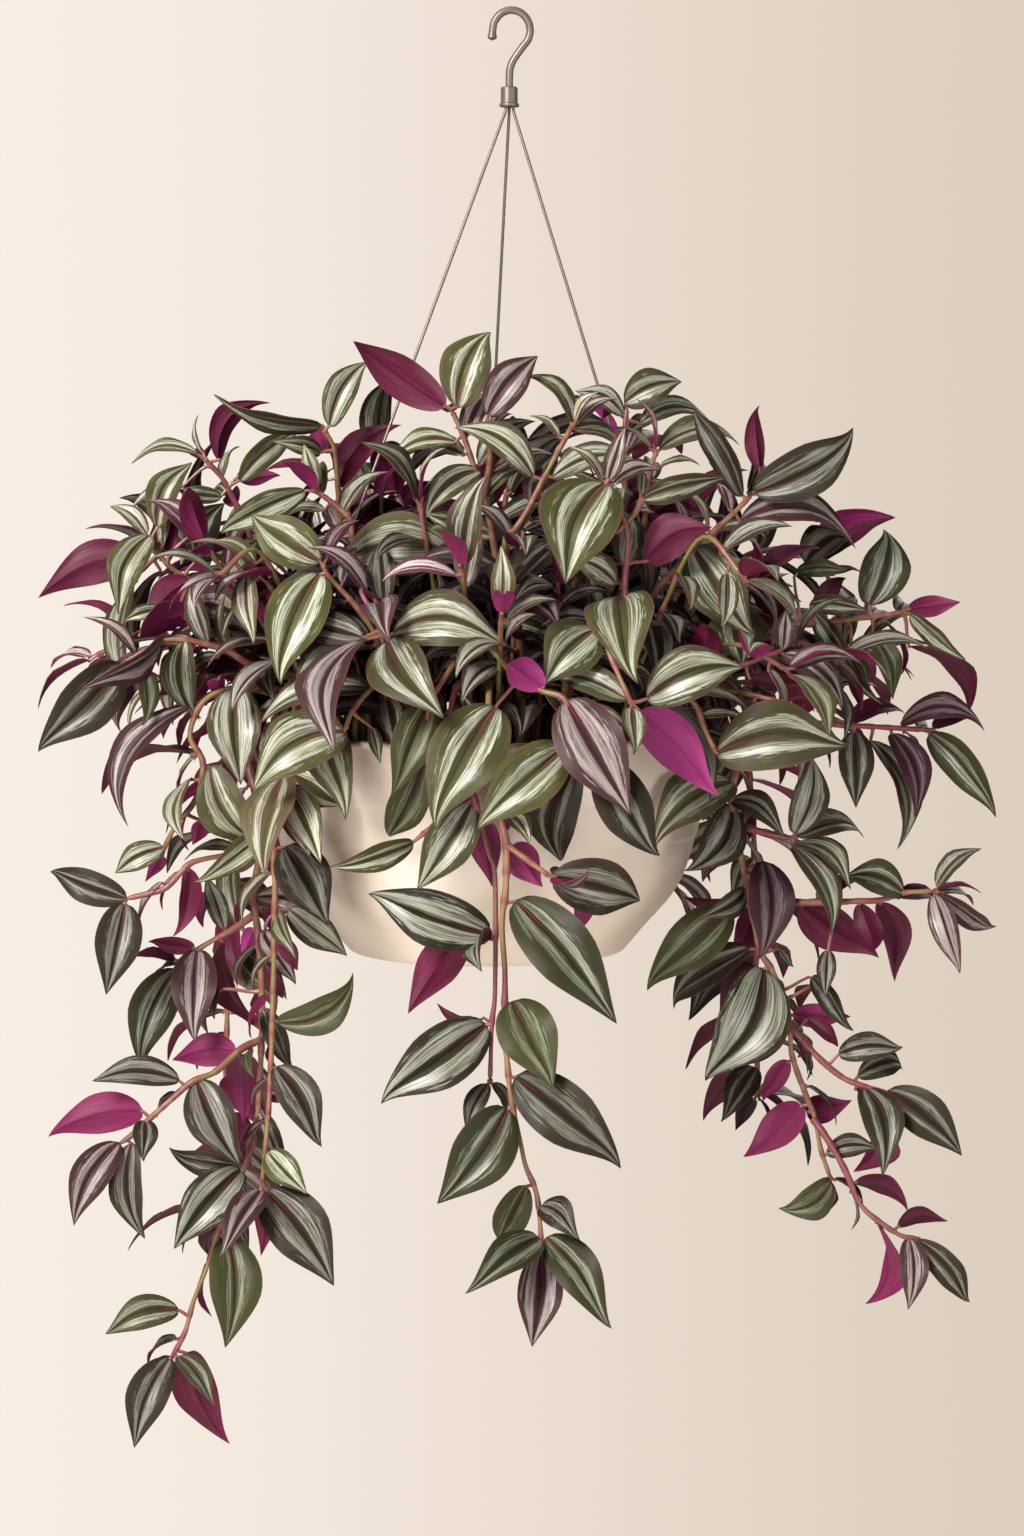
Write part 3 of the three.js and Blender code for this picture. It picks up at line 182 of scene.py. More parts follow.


# %% [markdown]
# ## The stems that show
#
# Each stem that can be followed in the picture was measured. Its root is given as degrees round the
# pot and millimetres from the axis; `over` says where a trailing stem crosses the rim. Its route runs from
# the crown to the tip, as pixels with a depth in millimetres. A leaf is written as the pixel of its base,
# the pixel of its tip and its greatest width in pixels, which is negative where the underside shows. A bowed
# leaf has one more value: how far its middle lies left of the line from base to tip, as a share of it.
# The first entry of each list is the stem. The others are its branches, each from its first place.

# %% Table of measured stems
MEASURED = {
    "stem_left_outer": [dict(
        root=(188, 90), route=[(230, 600, -20), (195, 583, -24), (168, 565, -28), (150, 538, -30)],
        leaves=[
            (144, 560, 38, 598, -45, -0.1), (150, 535, 118, 615, 38, -0.15), (157, 528, 192, 462, 32, 0.15),
            (197, 560, 225, 503, 38, 0.15),
        ],
    )],
    "stem_left_middle": [dict(
        root=(197, 100), route=[(255, 640, -48), (222, 625, -50), (197, 610, -52), (178, 605, -54)],
        leaves=[(180, 608, 256, 639, 45, 0.15), (191, 580, 142, 627, -35, -0.1), (197, 613, 140, 637, -30)],
    )],
    "stem_left_low": [dict(
        root=(206, 74),
        route=[(262, 668, -68), (225, 650, -76), (184, 640, -82), (160, 643, -84), (122, 664, -86)],
        leaves=[
            (184, 640, 202, 719, 35, -0.15), (160, 641, 78, 691, 28, -0.15),
            (160, 646, 122, 734, 35, -0.15), (122, 664, 38, 752, 55),
        ],
    )],
    "stem_left_back": [dict(
        root=(178, 65),
        route=[(262, 560, -5), (245, 520, -5), (232, 497, -6), (222, 478, -8), (203, 457, -10)],
        leaves=[
            (218, 461, 271, 403, -24, 0.2), (239, 481, 300, 431, 25, 0.15), (258, 541, 225, 589, 30, -0.15),
        ],
    )],
    "stem_left_top": [dict(
        root=(196, 42), route=[(345, 540, -22), (338, 487, -30), (334, 448, -34), (322, 428, -36)],
        leaves=[
            (322, 425, 213, 394, 22, -0.1), (329, 427, 370, 362, 32, 0.1), (339, 487, 402, 425, -32, 0.2),
        ],
    )],
    "stem_left_inner": [dict(
        root=(226, 58), route=[(355, 545, -76), (350, 520, -80), (335, 505, -82), (318, 492, -84)],
        leaves=[(306, 490, 221, 534, 30, -0.15), (345, 560, 469, 563, 65, 0.15)],
    )],
    "stem_left_front": [dict(
        root=(236, 94), route=[(375, 635, -98), (355, 605, -102), (330, 578, -104), (322, 563, -105)],
        leaves=[(321, 562, 252, 513, 50), (320, 573, 281, 685, 60, -0.1)],
    )],
    "stem_front_left": [dict(
        root=(250, 72), route=[(362, 590, -118), (378, 622, -126), (388, 640, -130)],
        leaves=[
            (363, 640, 335, 754, 45, -0.1), (393, 632, 509, 646, 58, 0.15), (388, 641, 444, 719, 62, -0.05),
        ],
    )],
    "stem_rim_left": [dict(
        root=(243, 104), route=[(370, 690, -128), (352, 712, -136), (345, 731, -140)],
        leaves=[(345, 731, 253, 791, 62, -0.15)],
    )],
    "stem_top_front": [dict(
        root=(280, 46),
        route=[
            (500, 640, -62), (500, 590, -70), (492, 535, -78), (485, 500, -82), (475, 470, -85),
            (465, 440, -87), (452, 410, -88),
        ],
        leaves=[
            (446, 407, 353, 341, -42), (457, 408, 491, 332, 51, 0.1), (480, 470, 426, 519, 30, -0.15),
            (457, 442, 389, 463, 22, -0.1), (494, 536, 425, 511, 26, -0.05), (498, 614, 557, 640, 35, 0.1),
        ],
    ), dict(
        route=[(485, 500, -82), (490, 460, -92), (487, 418, -96)],
        leaves=[(487, 416, 538, 356, 40, 0.1)],
    )],
    "stem_top_middle": [dict(
        root=(288, 68),
        route=[(505, 545, -108), (515, 530, -108), (528, 510, -106), (543, 480, -102), (573, 424, -94)],
        leaves=[(534, 477, 454, 428, 32, -0.1), (552, 478, 639, 464, 28, 0.1)],
    )],
    "stem_top_right": [dict(
        root=(318, 30), route=[(620, 520, -60), (623, 450, -60), (627, 408, -58)],
        leaves=[(624, 403, 682, 382, 38, 0.1), (624, 415, 575, 391, 22, -0.15)],
    )],
    "stem_right_inner": [dict(
        root=(330, 52), route=[(640, 540, -66), (648, 478, -72), (657, 450, -74)],
        leaves=[(659, 449, 740, 446, 24, 0.1)],
    )],
    "stem_front_right": [dict(
        root=(301, 86),
        route=[(622, 620, -112), (625, 580, -116), (627, 530, -118), (612, 500, -120), (606, 484, -121)],
        leaves=[
            (606, 483, 565, 584, 82, -0.1), (620, 597, 638, 684, 69), (617, 584, 573, 558, 30, -0.1),
            (646, 562, 712, 527, -45, 0.15),
        ],
    ), dict(
        route=[(627, 530, -118), (636, 512, -116), (642, 499, -114)],
        leaves=[(642, 499, 727, 478, 28, 0.1)],
    )],
    "stem_right_top": [dict(
        root=(327, 68),
        route=[
            (650, 598, -88), (665, 580, -92), (690, 555, -92), (715, 530, -88), (735, 512, -84),
            (752, 494, -80),
        ],
        leaves=[
            (743, 497, 694, 408, 25, -0.2), (752, 493, 853, 427, 52, -0.1), (739, 522, 856, 549, 34, 0.15),
            (693, 548, 756, 635, 60),
        ],
    ), dict(
        route=[(690, 555, -92), (718, 580, -84), (734, 607, -80)],
        leaves=[(734, 610, 741, 666, 58)],
    )],
    "stem_right_front": [dict(
        root=(316, 100), route=[(700, 675, -100), (735, 668, -102), (783, 650, -98)],
        leaves=[(783, 654, 842, 712, 28, 0.15), (783, 650, 785, 610, 25)],
    )],
    "stem_right_outer": [dict(
        root=(348, 62), route=[(795, 625, -45), (830, 622, -42), (870, 617, -38), (905, 612, -34)],
        leaves=[
            (869, 606, 883, 529, 50, -0.1), (813, 611, 885, 705, 28, 0.15), (908, 609, 961, 602, -22),
            (872, 637, 893, 700, 26, 0.15),
        ],
    )],
    "stem_right_low": [dict(
        root=(356, 92), over=350,
        route=[(815, 722, -52), (845, 725, -54), (880, 727, -54), (930, 730, -50)],
        leaves=[
            (900, 724, 985, 732, 28, 0.2), (929, 733, 996, 818, 36, 0.15), (891, 733, 914, 818, 32, 0.15),
            (870, 740, 897, 850, 22, 0.15), (854, 731, 856, 808, 36),
        ],
    )],
    "stem_front_middle": [dict(
        root=(281, 96),
        route=[
            (485, 640, -132), (510, 670, -144), (540, 690, -152), (565, 700, -158), (574, 735, -160),
            (600, 758, -160),
        ],
        leaves=[
            (545, 688, 508, 664, -33), (496, 706, 436, 830, 75, -0.05), (566, 747, 477, 830, 60),
            (566, 700, 631, 816, 68), (600, 760, 660, 856, 55), (575, 765, 560, 861, 55, -0.15),
        ],
    )],
    "stem_front_rim": [dict(
        root=(254, 102),
        route=[(455, 660, -126), (440, 685, -138), (430, 702, -144), (426, 735, -148), (424, 758, -149)],
        leaves=[(430, 702, 391, 795, 45), (425, 760, 390, 837, 40)],
    )],
    "stem_rim_middle": [dict(
        root=(294, 100), route=[(596, 622, -132), (612, 660, -144), (632, 705, -150)],
        leaves=[
            (595, 630, 545, 684, 60, -0.1), (596, 618, 538, 605, 22, -0.1), (628, 700, 557, 677, 30, -0.05),
            (646, 699, 744, 668, 55, 0.1), (640, 711, 719, 795, -50),
        ],
    )],
    "stem_rim_right": [dict(
        root=(306, 104), route=[(690, 700, -120), (705, 730, -126), (716, 752, -128)],
        leaves=[(716, 754, 848, 745, 70, 0.1)],
    )],
    "vine_left_outer": [dict(
        root=(220, 92), over=217,
        route=[
            (240, 688, -92), (205, 700, -98), (190, 735, -100), (203, 763, -100), (195, 800, -98),
            (176, 825, -96), (163, 851, -94),
        ],
        leaves=[
            (235, 687, 241, 785, 54, -0.05), (190, 706, 129, 828, 35, -0.2),
            (192, 754, 85, 802, -22, -0.05), (210, 766, 263, 845, 50, -0.15),
            (164, 847, 115, 873, 28, -0.1),
        ],
    )],
    "vine_left": [dict(
        root=(207, 96), over=204,
        route=[
            (255, 790, -84), (258, 860, -84), (254, 897, -84), (260, 950, -82), (262, 1010, -80),
            (260, 1080, -80), (256, 1130, -82), (245, 1165, -84), (220, 1225, -86), (207, 1267, -86),
            (194, 1300, -86), (185, 1332, -86), (172, 1357, -86),
        ],
        leaves=[
            (260, 775, 303, 835, -38), (258, 847, 208, 869, -22, 0.1), (256, 897, 328, 926, 30, 0.15),
            (262, 930, 296, 985, 28), (240, 1166, 169, 1147, 25), (242, 1168, 174, 1249, 50, -0.05),
            (228, 1236, 225, 1348, 54, 0.1), (179, 1309, 105, 1334, 35, -0.1),
            (170, 1357, 134, 1448, 43, -0.1), (187, 1352, 230, 1444, -45, -0.05),
            (178, 1356, 216, 1407, 25),
        ],
    ), dict(
        route=[
            (258, 1040, -80), (240, 1050, -86), (215, 1072, -92), (192, 1082, -95), (165, 1105, -96),
            (132, 1135, -96), (119, 1144, -96),
        ],
        leaves=[
            (237, 1051, 172, 1060, -35, -0.1), (240, 1054, 243, 1124, -35),
            (180, 1080, 92, 1081, 30, -0.05), (143, 1110, 48, 1137, -42, -0.1), (145, 1120, 144, 1162, 26),
            (119, 1142, 74, 1226, 40, -0.1), (132, 1142, 145, 1239, 34, -0.1),
            (197, 1081, 241, 1166, 50, -0.05),
        ],
    ), dict(
        route=[
            (257, 845, -84), (230, 854, -90), (200, 860, -94), (187, 866, -96), (167, 887, -98),
            (151, 893, -98), (125, 899, -98),
        ],
        leaves=[(127, 899, 50, 872, 35), (125, 903, 106, 995, 47), (190, 868, 172, 937, -24)],
    ), dict(
        route=[(256, 912, -84), (235, 928, -74), (205, 945, -70), (180, 962, -68)],
        leaves=[
            (197, 949, 196, 1043, 46, -0.05), (178, 968, 144, 1071, 48, -0.1), (222, 940, 256, 1026, -22),
            (225, 930, 208, 875, 22),
        ],
    )],
    "vine_left_inner": [dict(
        root=(233, 76), over=229,
        route=[
            (275, 815, -104), (275, 900, -104), (272, 1030, -102), (271, 1060, -102), (269, 1105, -102),
            (266, 1140, -102), (262, 1184, -102),
        ],
        leaves=[
            (292, 775, 343, 806, 40), (272, 828, 193, 882, 30, -0.05), (285, 846, 329, 925, 55, 0.05),
            (288, 909, 347, 956, 35), (277, 1023, 353, 972, 38, -0.2), (276, 1066, 322, 1147, 42, 0.05),
            (268, 1152, 307, 1195, 33), (266, 1190, 334, 1286, 62, 0.05), (261, 1190, 219, 1259, 35),
            (263, 1192, 261, 1256, -28),
        ],
    )],
    "vine_front": [dict(
        root=(269, 70), over=271,
        route=[
            (501, 817, -156), (506, 842, -157), (506, 885, -158), (502, 925, -158), (505, 975, -158),
            (504, 1035, -158), (507, 1060, -158), (511, 1097, -158), (521, 1145, -158), (526, 1167, -158),
            (537, 1196, -158), (542, 1250, -158),
        ],
        leaves=[
            (515, 900, 617, 1024, 65, 0.05), (512, 845, 543, 887, -35), (512, 1001, 552, 1090, 60),
            (515, 1076, 621, 1169, 62, 0.05), (508, 1108, 437, 1204, 62, 0.05), (526, 1185, 501, 1242, 36),
            (541, 1206, 580, 1240, 33, 0.1), (540, 1238, 465, 1294, 40), (542, 1254, 532, 1347, 46),
            (546, 1237, 612, 1329, 46, 0.05),
        ],
    ), dict(
        route=[(506, 842, -157), (530, 862, -160), (551, 877, -162)],
        leaves=[(551, 877, 640, 901, 58)],
    )],
    "vine_front_second": [dict(
        root=(262, 52), over=263.5,
        route=[
            (474, 798, -152), (488, 850, -147), (495, 880, -146), (495, 990, -145), (492, 1022, -145),
            (490, 1080, -145),
        ],
        leaves=[
            (472, 802, 417, 890, 50), (483, 820, 492, 887, -33), (491, 935, 368, 894, 58, 0.05),
            (462, 934, 408, 1014, -44), (487, 1024, 381, 1104, 62),
        ],
    ), dict(
        route=[(474, 798, -152), (448, 815, -150), (420, 836, -148)],
        leaves=[(414, 842, 329, 866, 28)],
    )],
    "vine_right": [dict(
        root=(338, 84), over=341,
        route=[
            (732, 795, -66), (740, 850, -64), (750, 900, -62), (760, 950, -60), (773, 972, -60),
            (789, 1019, -60), (792, 1055, -60), (807, 1098, -60), (814, 1115, -60), (821, 1150, -60),
            (830, 1177, -60),
        ],
        leaves=[
            (732, 800, 786, 838, 28, 0.15), (732, 805, 684, 871, 45, 0.15), (744, 892, 699, 921, 25),
            (764, 861, 758, 960, 47, 0.1), (730, 907, 647, 991, 52), (750, 948, 674, 1010, 35),
            (764, 968, 705, 1081, 72, 0.1), (785, 1027, 725, 1070, 35), (792, 1015, 851, 1017, -25),
            (802, 1105, 743, 1157, -38), (806, 1112, 852, 1100, -30), (826, 1153, 878, 1149, 25, 0.1),
            (832, 1181, 778, 1208, 35, 0.2), (788, 1060, 763, 1102, -22),
        ],
    ), dict(
        route=[(792, 1022, -60), (816, 1055, -64), (842, 1077, -66), (864, 1086, -68), (888, 1093, -68)],
        leaves=[
            (838, 1054, 903, 1047, 30, 0.1), (857, 1076, 902, 1070, 30, 0.15),
            (886, 1091, 962, 1156, 45, 0.1), (865, 1088, 882, 1177, 42, 0.15),
            (855, 1088, 853, 1172, -22, 0.1),
        ],
    ), dict(
        route=[
            (814, 1118, -60), (830, 1143, -66), (845, 1170, -70), (861, 1205, -72), (883, 1224, -74),
            (902, 1236, -74), (918, 1238, -74),
        ],
        leaves=[(909, 1238, 908, 1310, 30, 0.05), (916, 1239, 970, 1302, 30, 0.1)],
    ), dict(
        route=[
            (745, 872, -63), (770, 890, -70), (798, 902, -76), (859, 901, -80), (880, 900, -80),
            (904, 893, -80), (934, 891, -80),
        ],
        leaves=[
            (800, 905, 879, 958, -45), (904, 893, 842, 880, 36, -0.15), (859, 903, 872, 951, -28, 0.05),
            (880, 902, 895, 982, -32, 0.1), (934, 894, 960, 974, 28, 0.1),
        ],
    ), dict(
        route=[(737, 825, -65), (765, 833, -74), (795, 839, -80)],
        leaves=[
            (795, 835, 812, 757, 38, -0.1), (792, 846, 830, 936, 30, 0.1), (795, 843, 851, 890, 25, 0.1),
            (796, 837, 864, 838, 25, 0.1),
        ],
    )],
}

# %% [markdown]
# ## The hidden side
#
# The picture doesn't show the back of the plant, so its stems follow the habits of the ones in front: shoots
# lean out, crown stems stand up, and vines hang. A habit gives a stem's places as distance from the axis and
# height above the rim, and its leaves' spacing and length. Each stem strays from it a little, by random
# draws.

# %% Habits of the hidden stems
HABITS = {
    "shoot": dict(root=72, path=[(104, 60), (142, 92), (172, 98), (192, 84)], pitch=30, leaf=(46, 66)),
    "vine": dict(root=94, path=[(118, 32), (148, 16), (157, -40)], pitch=36, leaf=(42, 58)),
    "crown": dict(root=42, path=[(60, 88), (80, 130), (98, 152)], pitch=30, leaf=(46, 66)),
}
HIDDEN = [
    ("shoot", 12, 0), ("vine", 25, 175), ("crown", 38, 0), ("vine", 52, 55), ("shoot", 65, 0),
    ("vine", 80, 60), ("crown", 84, 0), ("shoot", 104, 0), ("vine", 119, 55), ("crown", 130, 0),
    ("shoot", 141, 0), ("vine", 154, 240), ("shoot", 170, 0),
]  # habit, degrees round the pot, mm that it hangs
HIDDEN_SEED = 2024
STRAY = dict(degrees=3, radius=0.03, aside=8, away=10)


def draws(seed):
    """A source of random numbers: the last whole number times 16807, modulo a large prime."""
    factor = 16807
    prime = 2147483647
    state = seed

    def draw(low, high):
        nonlocal state
        state = state * factor % prime
        return low + (high - low) * state / prime

    return draw


draw = draws(HIDDEN_SEED)
print(len(MEASURED), "measured stems and", len(HIDDEN), "hidden ones")


# %% [markdown]
# ## Lines through points
#
# A stem is a Catmull-Rom line, which passes smoothly through every given point. The coarse solid cuts it
# into equal straight pieces. We keep those, because leaves are attached to them, and the fine stem follows
# the smooth line itself.

# %% Smooth lines
STEP_LENGTH = 42
SAMPLE = 2
ARC_CHORDS = 200
HEADING_SPAN = 0.02


def cubic(start, end, slope_0, slope_1, t):
    """The cubic from start to end, as t goes from 0 to 1, that leaves and arrives with the given slopes."""
    squared = 3 * (end - start) - 2 * slope_0 - slope_1
    cubed = 2 * (start - end) + slope_0 + slope_1
    return start + slope_0 * t + squared * t**2 + cubed * t**3


def smooth_line(points, shares):
    """A uniform Catmull-Rom line: on each stretch a cubic whose slope at a point is half the way between
    its neighbours. Beyond each end a mirrored point stands in for the missing neighbour."""
    points = np.array(points, float)
    padded = np.vstack([2 * points[0] - points[1], points, 2 * points[-1] - points[-2]])
    place = np.asarray(shares, float) * (len(points) - 1)
    i = np.minimum(np.floor(place).astype(int), len(points) - 2)
    t = (place - i)[:, None]
    before, start, end, after = (padded[i + k] for k in range(4))
    return cubic(start, end, (end - before) / 2, (after - start) / 2, t)


def even_places(points, count):
    """Places at equal distances along a smooth line, and its length: lengths are summed over chords and
    read backwards."""
    marks = np.linspace(0, 1, ARC_CHORDS + 1)
    chords = np.linalg.norm(np.diff(smooth_line(points, marks), axis=0), axis=1)
    lengths = np.concatenate([[0], np.cumsum(chords)])
    wanted = np.linspace(0, 1, count + 1) * lengths[-1]
    return smooth_line(points, np.interp(wanted, lengths, marks)), lengths[-1]


def along(nodes):
    """Points along straight pieces, at most a sample apart."""
    nodes = np.asarray(nodes, float)
    pieces = []
    for start, end in zip(nodes[:-1], nodes[1:]):
        count = math.ceil(np.linalg.norm(end - start) / SAMPLE)
        pieces.append(start + (end - start) * (np.arange(count) / count)[:, None])
    return np.vstack([*pieces, nodes[-1:]])


def point_at(nodes, share):
    """The point at a share of the way along straight pieces of equal length."""
    place = min(max(share, 0), 1) * (len(nodes) - 1)
    i = min(math.floor(place), len(nodes) - 2)
    return nodes[i] + (nodes[i + 1] - nodes[i]) * (place - i)


def unit(v):
    """A direction of length one."""
    return v / np.linalg.norm(v)


def heading(nodes, share):
    """The direction of straight pieces at a share of the way, taken over a short span."""
    return unit(point_at(nodes, share + HEADING_SPAN) - point_at(nodes, share - HEADING_SPAN))


# %% Stems as lines
UPRIGHT = (14, 36)
OVER_RIM = ((118, 31), (148, 14))
ARCH_AT = 0.4
ARCH_RISE = 0.2


def line(points):
    """A stem or a branch: the points that it is drawn through, its length, its straight pieces, and samples
    of them."""
    length = even_places(points, 1)[1]
    nodes, _ = even_places(points, max(2, math.floor(length / STEP_LENGTH + 0.5)))
    return dict(points=np.array(points), length=length, nodes=nodes, places=along(nodes))


def start_of(root, over, following):
    """A stem's first points: upright in its hole and above it, then over the rim or in an arch."""
    degrees, radius = root
    heights = [CLEAR - STEM_HOLE_DEPTH, *UPRIGHT]
    upright = [round_pot(degrees, radius, SOIL_Z + above) for above in heights]
    if over is not None:
        return upright + [round_pot(over, r, RIM_Z + above) for r, above in OVER_RIM]
    top = upright[-1]
    reach = np.hypot(*(following - top)[:2])
    return upright + [top + (following - top) * ARCH_AT + UP * ARCH_RISE * reach]


def nearest_seen(places, px, py):
    """The place among these that shows nearest to a pixel."""
    gaps = np.hypot(*(pixel_of(places) - (px, py)).T)
    return places[np.argmin(gaps)]


def measured_stem(name, spec):
    """A measured stem with its branches, and the stretch of each on which measured leaves sit."""
    trunk, *branches = spec
    own = [seen(*place) for place in trunk["route"]]
    main = line(start_of(trunk["root"], trunk.get("over"), own[0]) + own)
    first = np.argmin(np.linalg.norm(main["places"] - own[0], axis=1))
    main["hidden"] = main["length"] * first / (len(main["places"]) - 1)
    main["shown"] = main["places"][first:]
    lines = [main]
    for branch in branches:
        points = [seen(*place) for place in branch["route"]]
        points[0] = nearest_seen(main["shown"], *branch["route"][0][:2])
        lines.append(line(points))
        lines[-1]["shown"] = lines[-1]["places"]
    return dict(name=name, lines=lines, leaves=[], spec=spec, habit=None)


def hidden_stem(kind, azimuth, hang, number):
    """A stem of the hidden side: its habit's places, each a little astray, and a vine's hanging end."""
    habit = HABITS[kind]
    drift = draw(-STRAY["degrees"], STRAY["degrees"])
    path = []
    for k, (radius, above) in enumerate(habit["path"]):
        astray = radius * draw(1 - STRAY["radius"], 1 + STRAY["radius"])
        path.append(round_pot(azimuth + drift * k, astray, RIM_Z + above))
    if hang:
        path.append(path[-1] + (draw(-STRAY["aside"], STRAY["aside"]), draw(0, STRAY["away"]), -hang))
    main = line(start_of((azimuth, habit["root"]), None, path[0]) + path)
    main["hidden"] = main["length"]
    return dict(name=f"{kind}_back_{number}", lines=[main], leaves=[], spec=[], habit=habit)


stems = [measured_stem(name, spec) for name, spec in MEASURED.items()]
stems += [hidden_stem(*row, k + 1) for k, row in enumerate(HIDDEN)]
total = sum(part["length"] for stem in stems for part in stem["lines"])
print(len(stems), "stems,", round(total), "mm in all")

# %% [markdown]
# ## Room for the leaves
#
# Leaves of different stems must not pass through one another. So each small cell of the room round the plant
# remembers which stem fills it, and a leaf keeps the first of its forms whose cells are free. The same rule
# made the coarse blades, so the fine leaves come to stand exactly where the solids are.

# %% The grid of cells
CELL = 2.5
ROOM_MIN = point(-330, -280, -860)
ROOM_CELLS = (264, 232, 348)
LEAF_MARGIN = 4.4
STEM_MARGIN = 6.2
WIRE_MARGIN = 5.0
POT_MARGIN = 4.0
OWN_SHARE = 0.3
SHARED = -1
room = np.zeros(ROOM_CELLS, np.int16)


def cells_of(places):
    """The cell that holds each point."""
    return tuple(np.floor((places - ROOM_MIN) / CELL).astype(int).T)


def fill(places, margin, mark):
    """Marks every cell within a margin of the points. A cell that two stems reach is closed to all."""
    reach = math.ceil(margin / CELL)
    ticks = np.arange(-reach, reach + 1)
    steps = np.stack(np.meshgrid(ticks, ticks, ticks, indexing="ij"), axis=-1).reshape(-1, 3)
    steps = steps[np.linalg.norm(steps, axis=1) * CELL <= margin]
    cells = cells_of((places[:, None, :] + steps * CELL).reshape(-1, 3))
    held = room[cells]
    other = np.where(held >> 1 != mark >> 1, SHARED, np.maximum(held, mark))
    room[cells] = np.where(held == 0, mark, other)


def near_pot(places):
    """Which points are inside the pot or close to it: the pot's radius is read at each point's height."""
    height = places[:, 2] - POT_BASE_Z
    radius = np.hypot(places[:, 0] - POT_AXIS_X, places[:, 1])
    wall = np.interp(height, POT_OUTSIDE[:, 1], POT_OUTSIDE[:, 0])
    wall = np.where(height > POT_HEIGHT - FLANGE_THICK - POT_MARGIN, FLANGE_RADIUS, wall)
    level = (height >= -POT_MARGIN) & (height <= POT_HEIGHT + POT_MARGIN)
    return level & (radius < POT_MARGIN + wall)


for number, stem in enumerate(stems):
    for part in stem["lines"]:
        fill(part["places"], STEM_MARGIN, 2 * (number + 1))
for degrees in WIRE_AZIMUTHS.values():
    fill(along(wire_path(degrees)), WIRE_MARGIN, SHARED)
print("cells that stems and wires fill:", np.count_nonzero(room))

# %% [markdown]
# ## The coarse blade
#
# A coarse blade has a root on the stem, a row at its widest place, a row at its shoulder and a tip. Its
# middle arches and its edges are lifted, like a shallow boat. We need it to test the room, and its measures
# are handed on to the fine leaf.

# %% Coarse blades and their test
STATIONS = (0.24, 0.62)
TAPER_FROM = 0.5
SHOULDER = 0.78
ARCH = 0.1
CHANNEL = 0.28
SLIMMEST = 0.36


def blade_row(leaf, share):
    """Left edge, midrib and right edge at a share of the length. The midrib leaves the straight line from
    base to tip by a parabola, upwards and for a bowed leaf sideways, and the edges rise by a share of the
    half width."""
    axis = leaf["tip"] - leaf["base"]
    length = np.linalg.norm(axis)
    side = unit(np.cross(leaf["normal"], axis))
    curve = length * 4 * share * (1 - share)
    middle = leaf["base"] + axis * share + leaf["normal"] * ARCH * curve + side * leaf["bow"] * curve
    half = leaf["width"] / 2 * (1 if share < TAPER_FROM else SHOULDER)
    edge = leaf["normal"] * CHANNEL * half
    return np.array([middle - side * half + edge, middle, middle + side * half + edge])


def blade_samples(leaf):
    """Points spread over a blade, and each one's share of the way from root to tip."""
    root, tip = np.tile(leaf["root"], (3, 1)), np.tile(leaf["tip"], (3, 1))
    rows = [root, *(blade_row(leaf, share) for share in STATIONS), tip]
    across = max(1, math.ceil(leaf["width"] / 2 / SAMPLE))
    b = np.arange(-across, across + 1)
    mix = (np.abs(b) / across)[None, :, None]
    edge = np.where(b < 0, 0, 2)
    places, shares = [], []
    for i, (low, high) in enumerate(zip(rows[:-1], rows[1:])):
        count = max(1, math.ceil(np.linalg.norm(high[1] - low[1]) / SAMPLE))
        t = (np.arange(count) / count)[:, None, None]
        lower = low[1] + (low[edge][None] - low[1]) * mix
        upper = high[1] + (high[edge][None] - high[1]) * mix
        places.append((lower + (upper - lower) * t).reshape(-1, 3))
        shares.append(np.repeat((i + t[:, 0, 0]) / (len(rows) - 1), len(b)))
    return np.vstack([*places, leaf["tip"]]), np.append(np.concatenate(shares), 1)


def fits(places, shares, stem):
    """True if every sample is clear of the pot and of other stems. Near its root a leaf may touch its own
    stem."""
    held = room[cells_of(places)].astype(int)
    own = (held != SHARED) & (held >> 1 == stem) & ((held % 2 == 0) | (shares < OWN_SHARE))
    return not np.any(near_pot(places) | ((held != 0) & ~own))


def settle(forms, stem, margin=LEAF_MARGIN):
    """Keeps the first form of a leaf that has room, and fills its cells."""
    for leaf in forms:
        places, shares = blade_samples(leaf)
        if fits(places, shares, stem):
            fill(places, margin, 2 * stem + 1)
            return leaf
    return None


def grow(stem, number, forms, margin=LEAF_MARGIN):
    """Gives a stem a leaf, in the first of its forms that has room, if one has."""
    leaf = settle(forms, number, margin)
    if leaf:
        stem["leaves"].append(leaf)


# %% [markdown]
# ## Forms that a leaf may take
#
# A measured leaf keeps its place in the picture: only the depth of its tip may change. A leaf of the rule
# leaves its stem to one side, with its upper face up and outwards, and may swing round the stem.

# %% Forms of a leaf
LEAN = 0.3
TIP_DEPTHS = (0, 8, -8, 16, -16, 24, -24, 32, -32, 42, -42, 52, -52)
SWINGS = (0, 24, -24, 48, -48, 72, -72, 100, -100)
SIZES = (1, 0.84, 0.7)
RULED = dict(
    lowest=40, pitch=40, length=(46, 68), width=(0.4, 0.48), spread=(0.84, 0.42), droop=(0.1, 0.5),
    wander=25, face_out=0.7, stalk=3, steep=0.9, last_turn=90,
)


def turned_about(v, axis, angle):
    """A direction turned about an axis by an angle in radians, by Rodrigues' formula."""
    c, s = math.cos(angle), math.sin(angle)
    return v * c + np.cross(axis, v) * s + axis * np.dot(axis, v) * (1 - c)


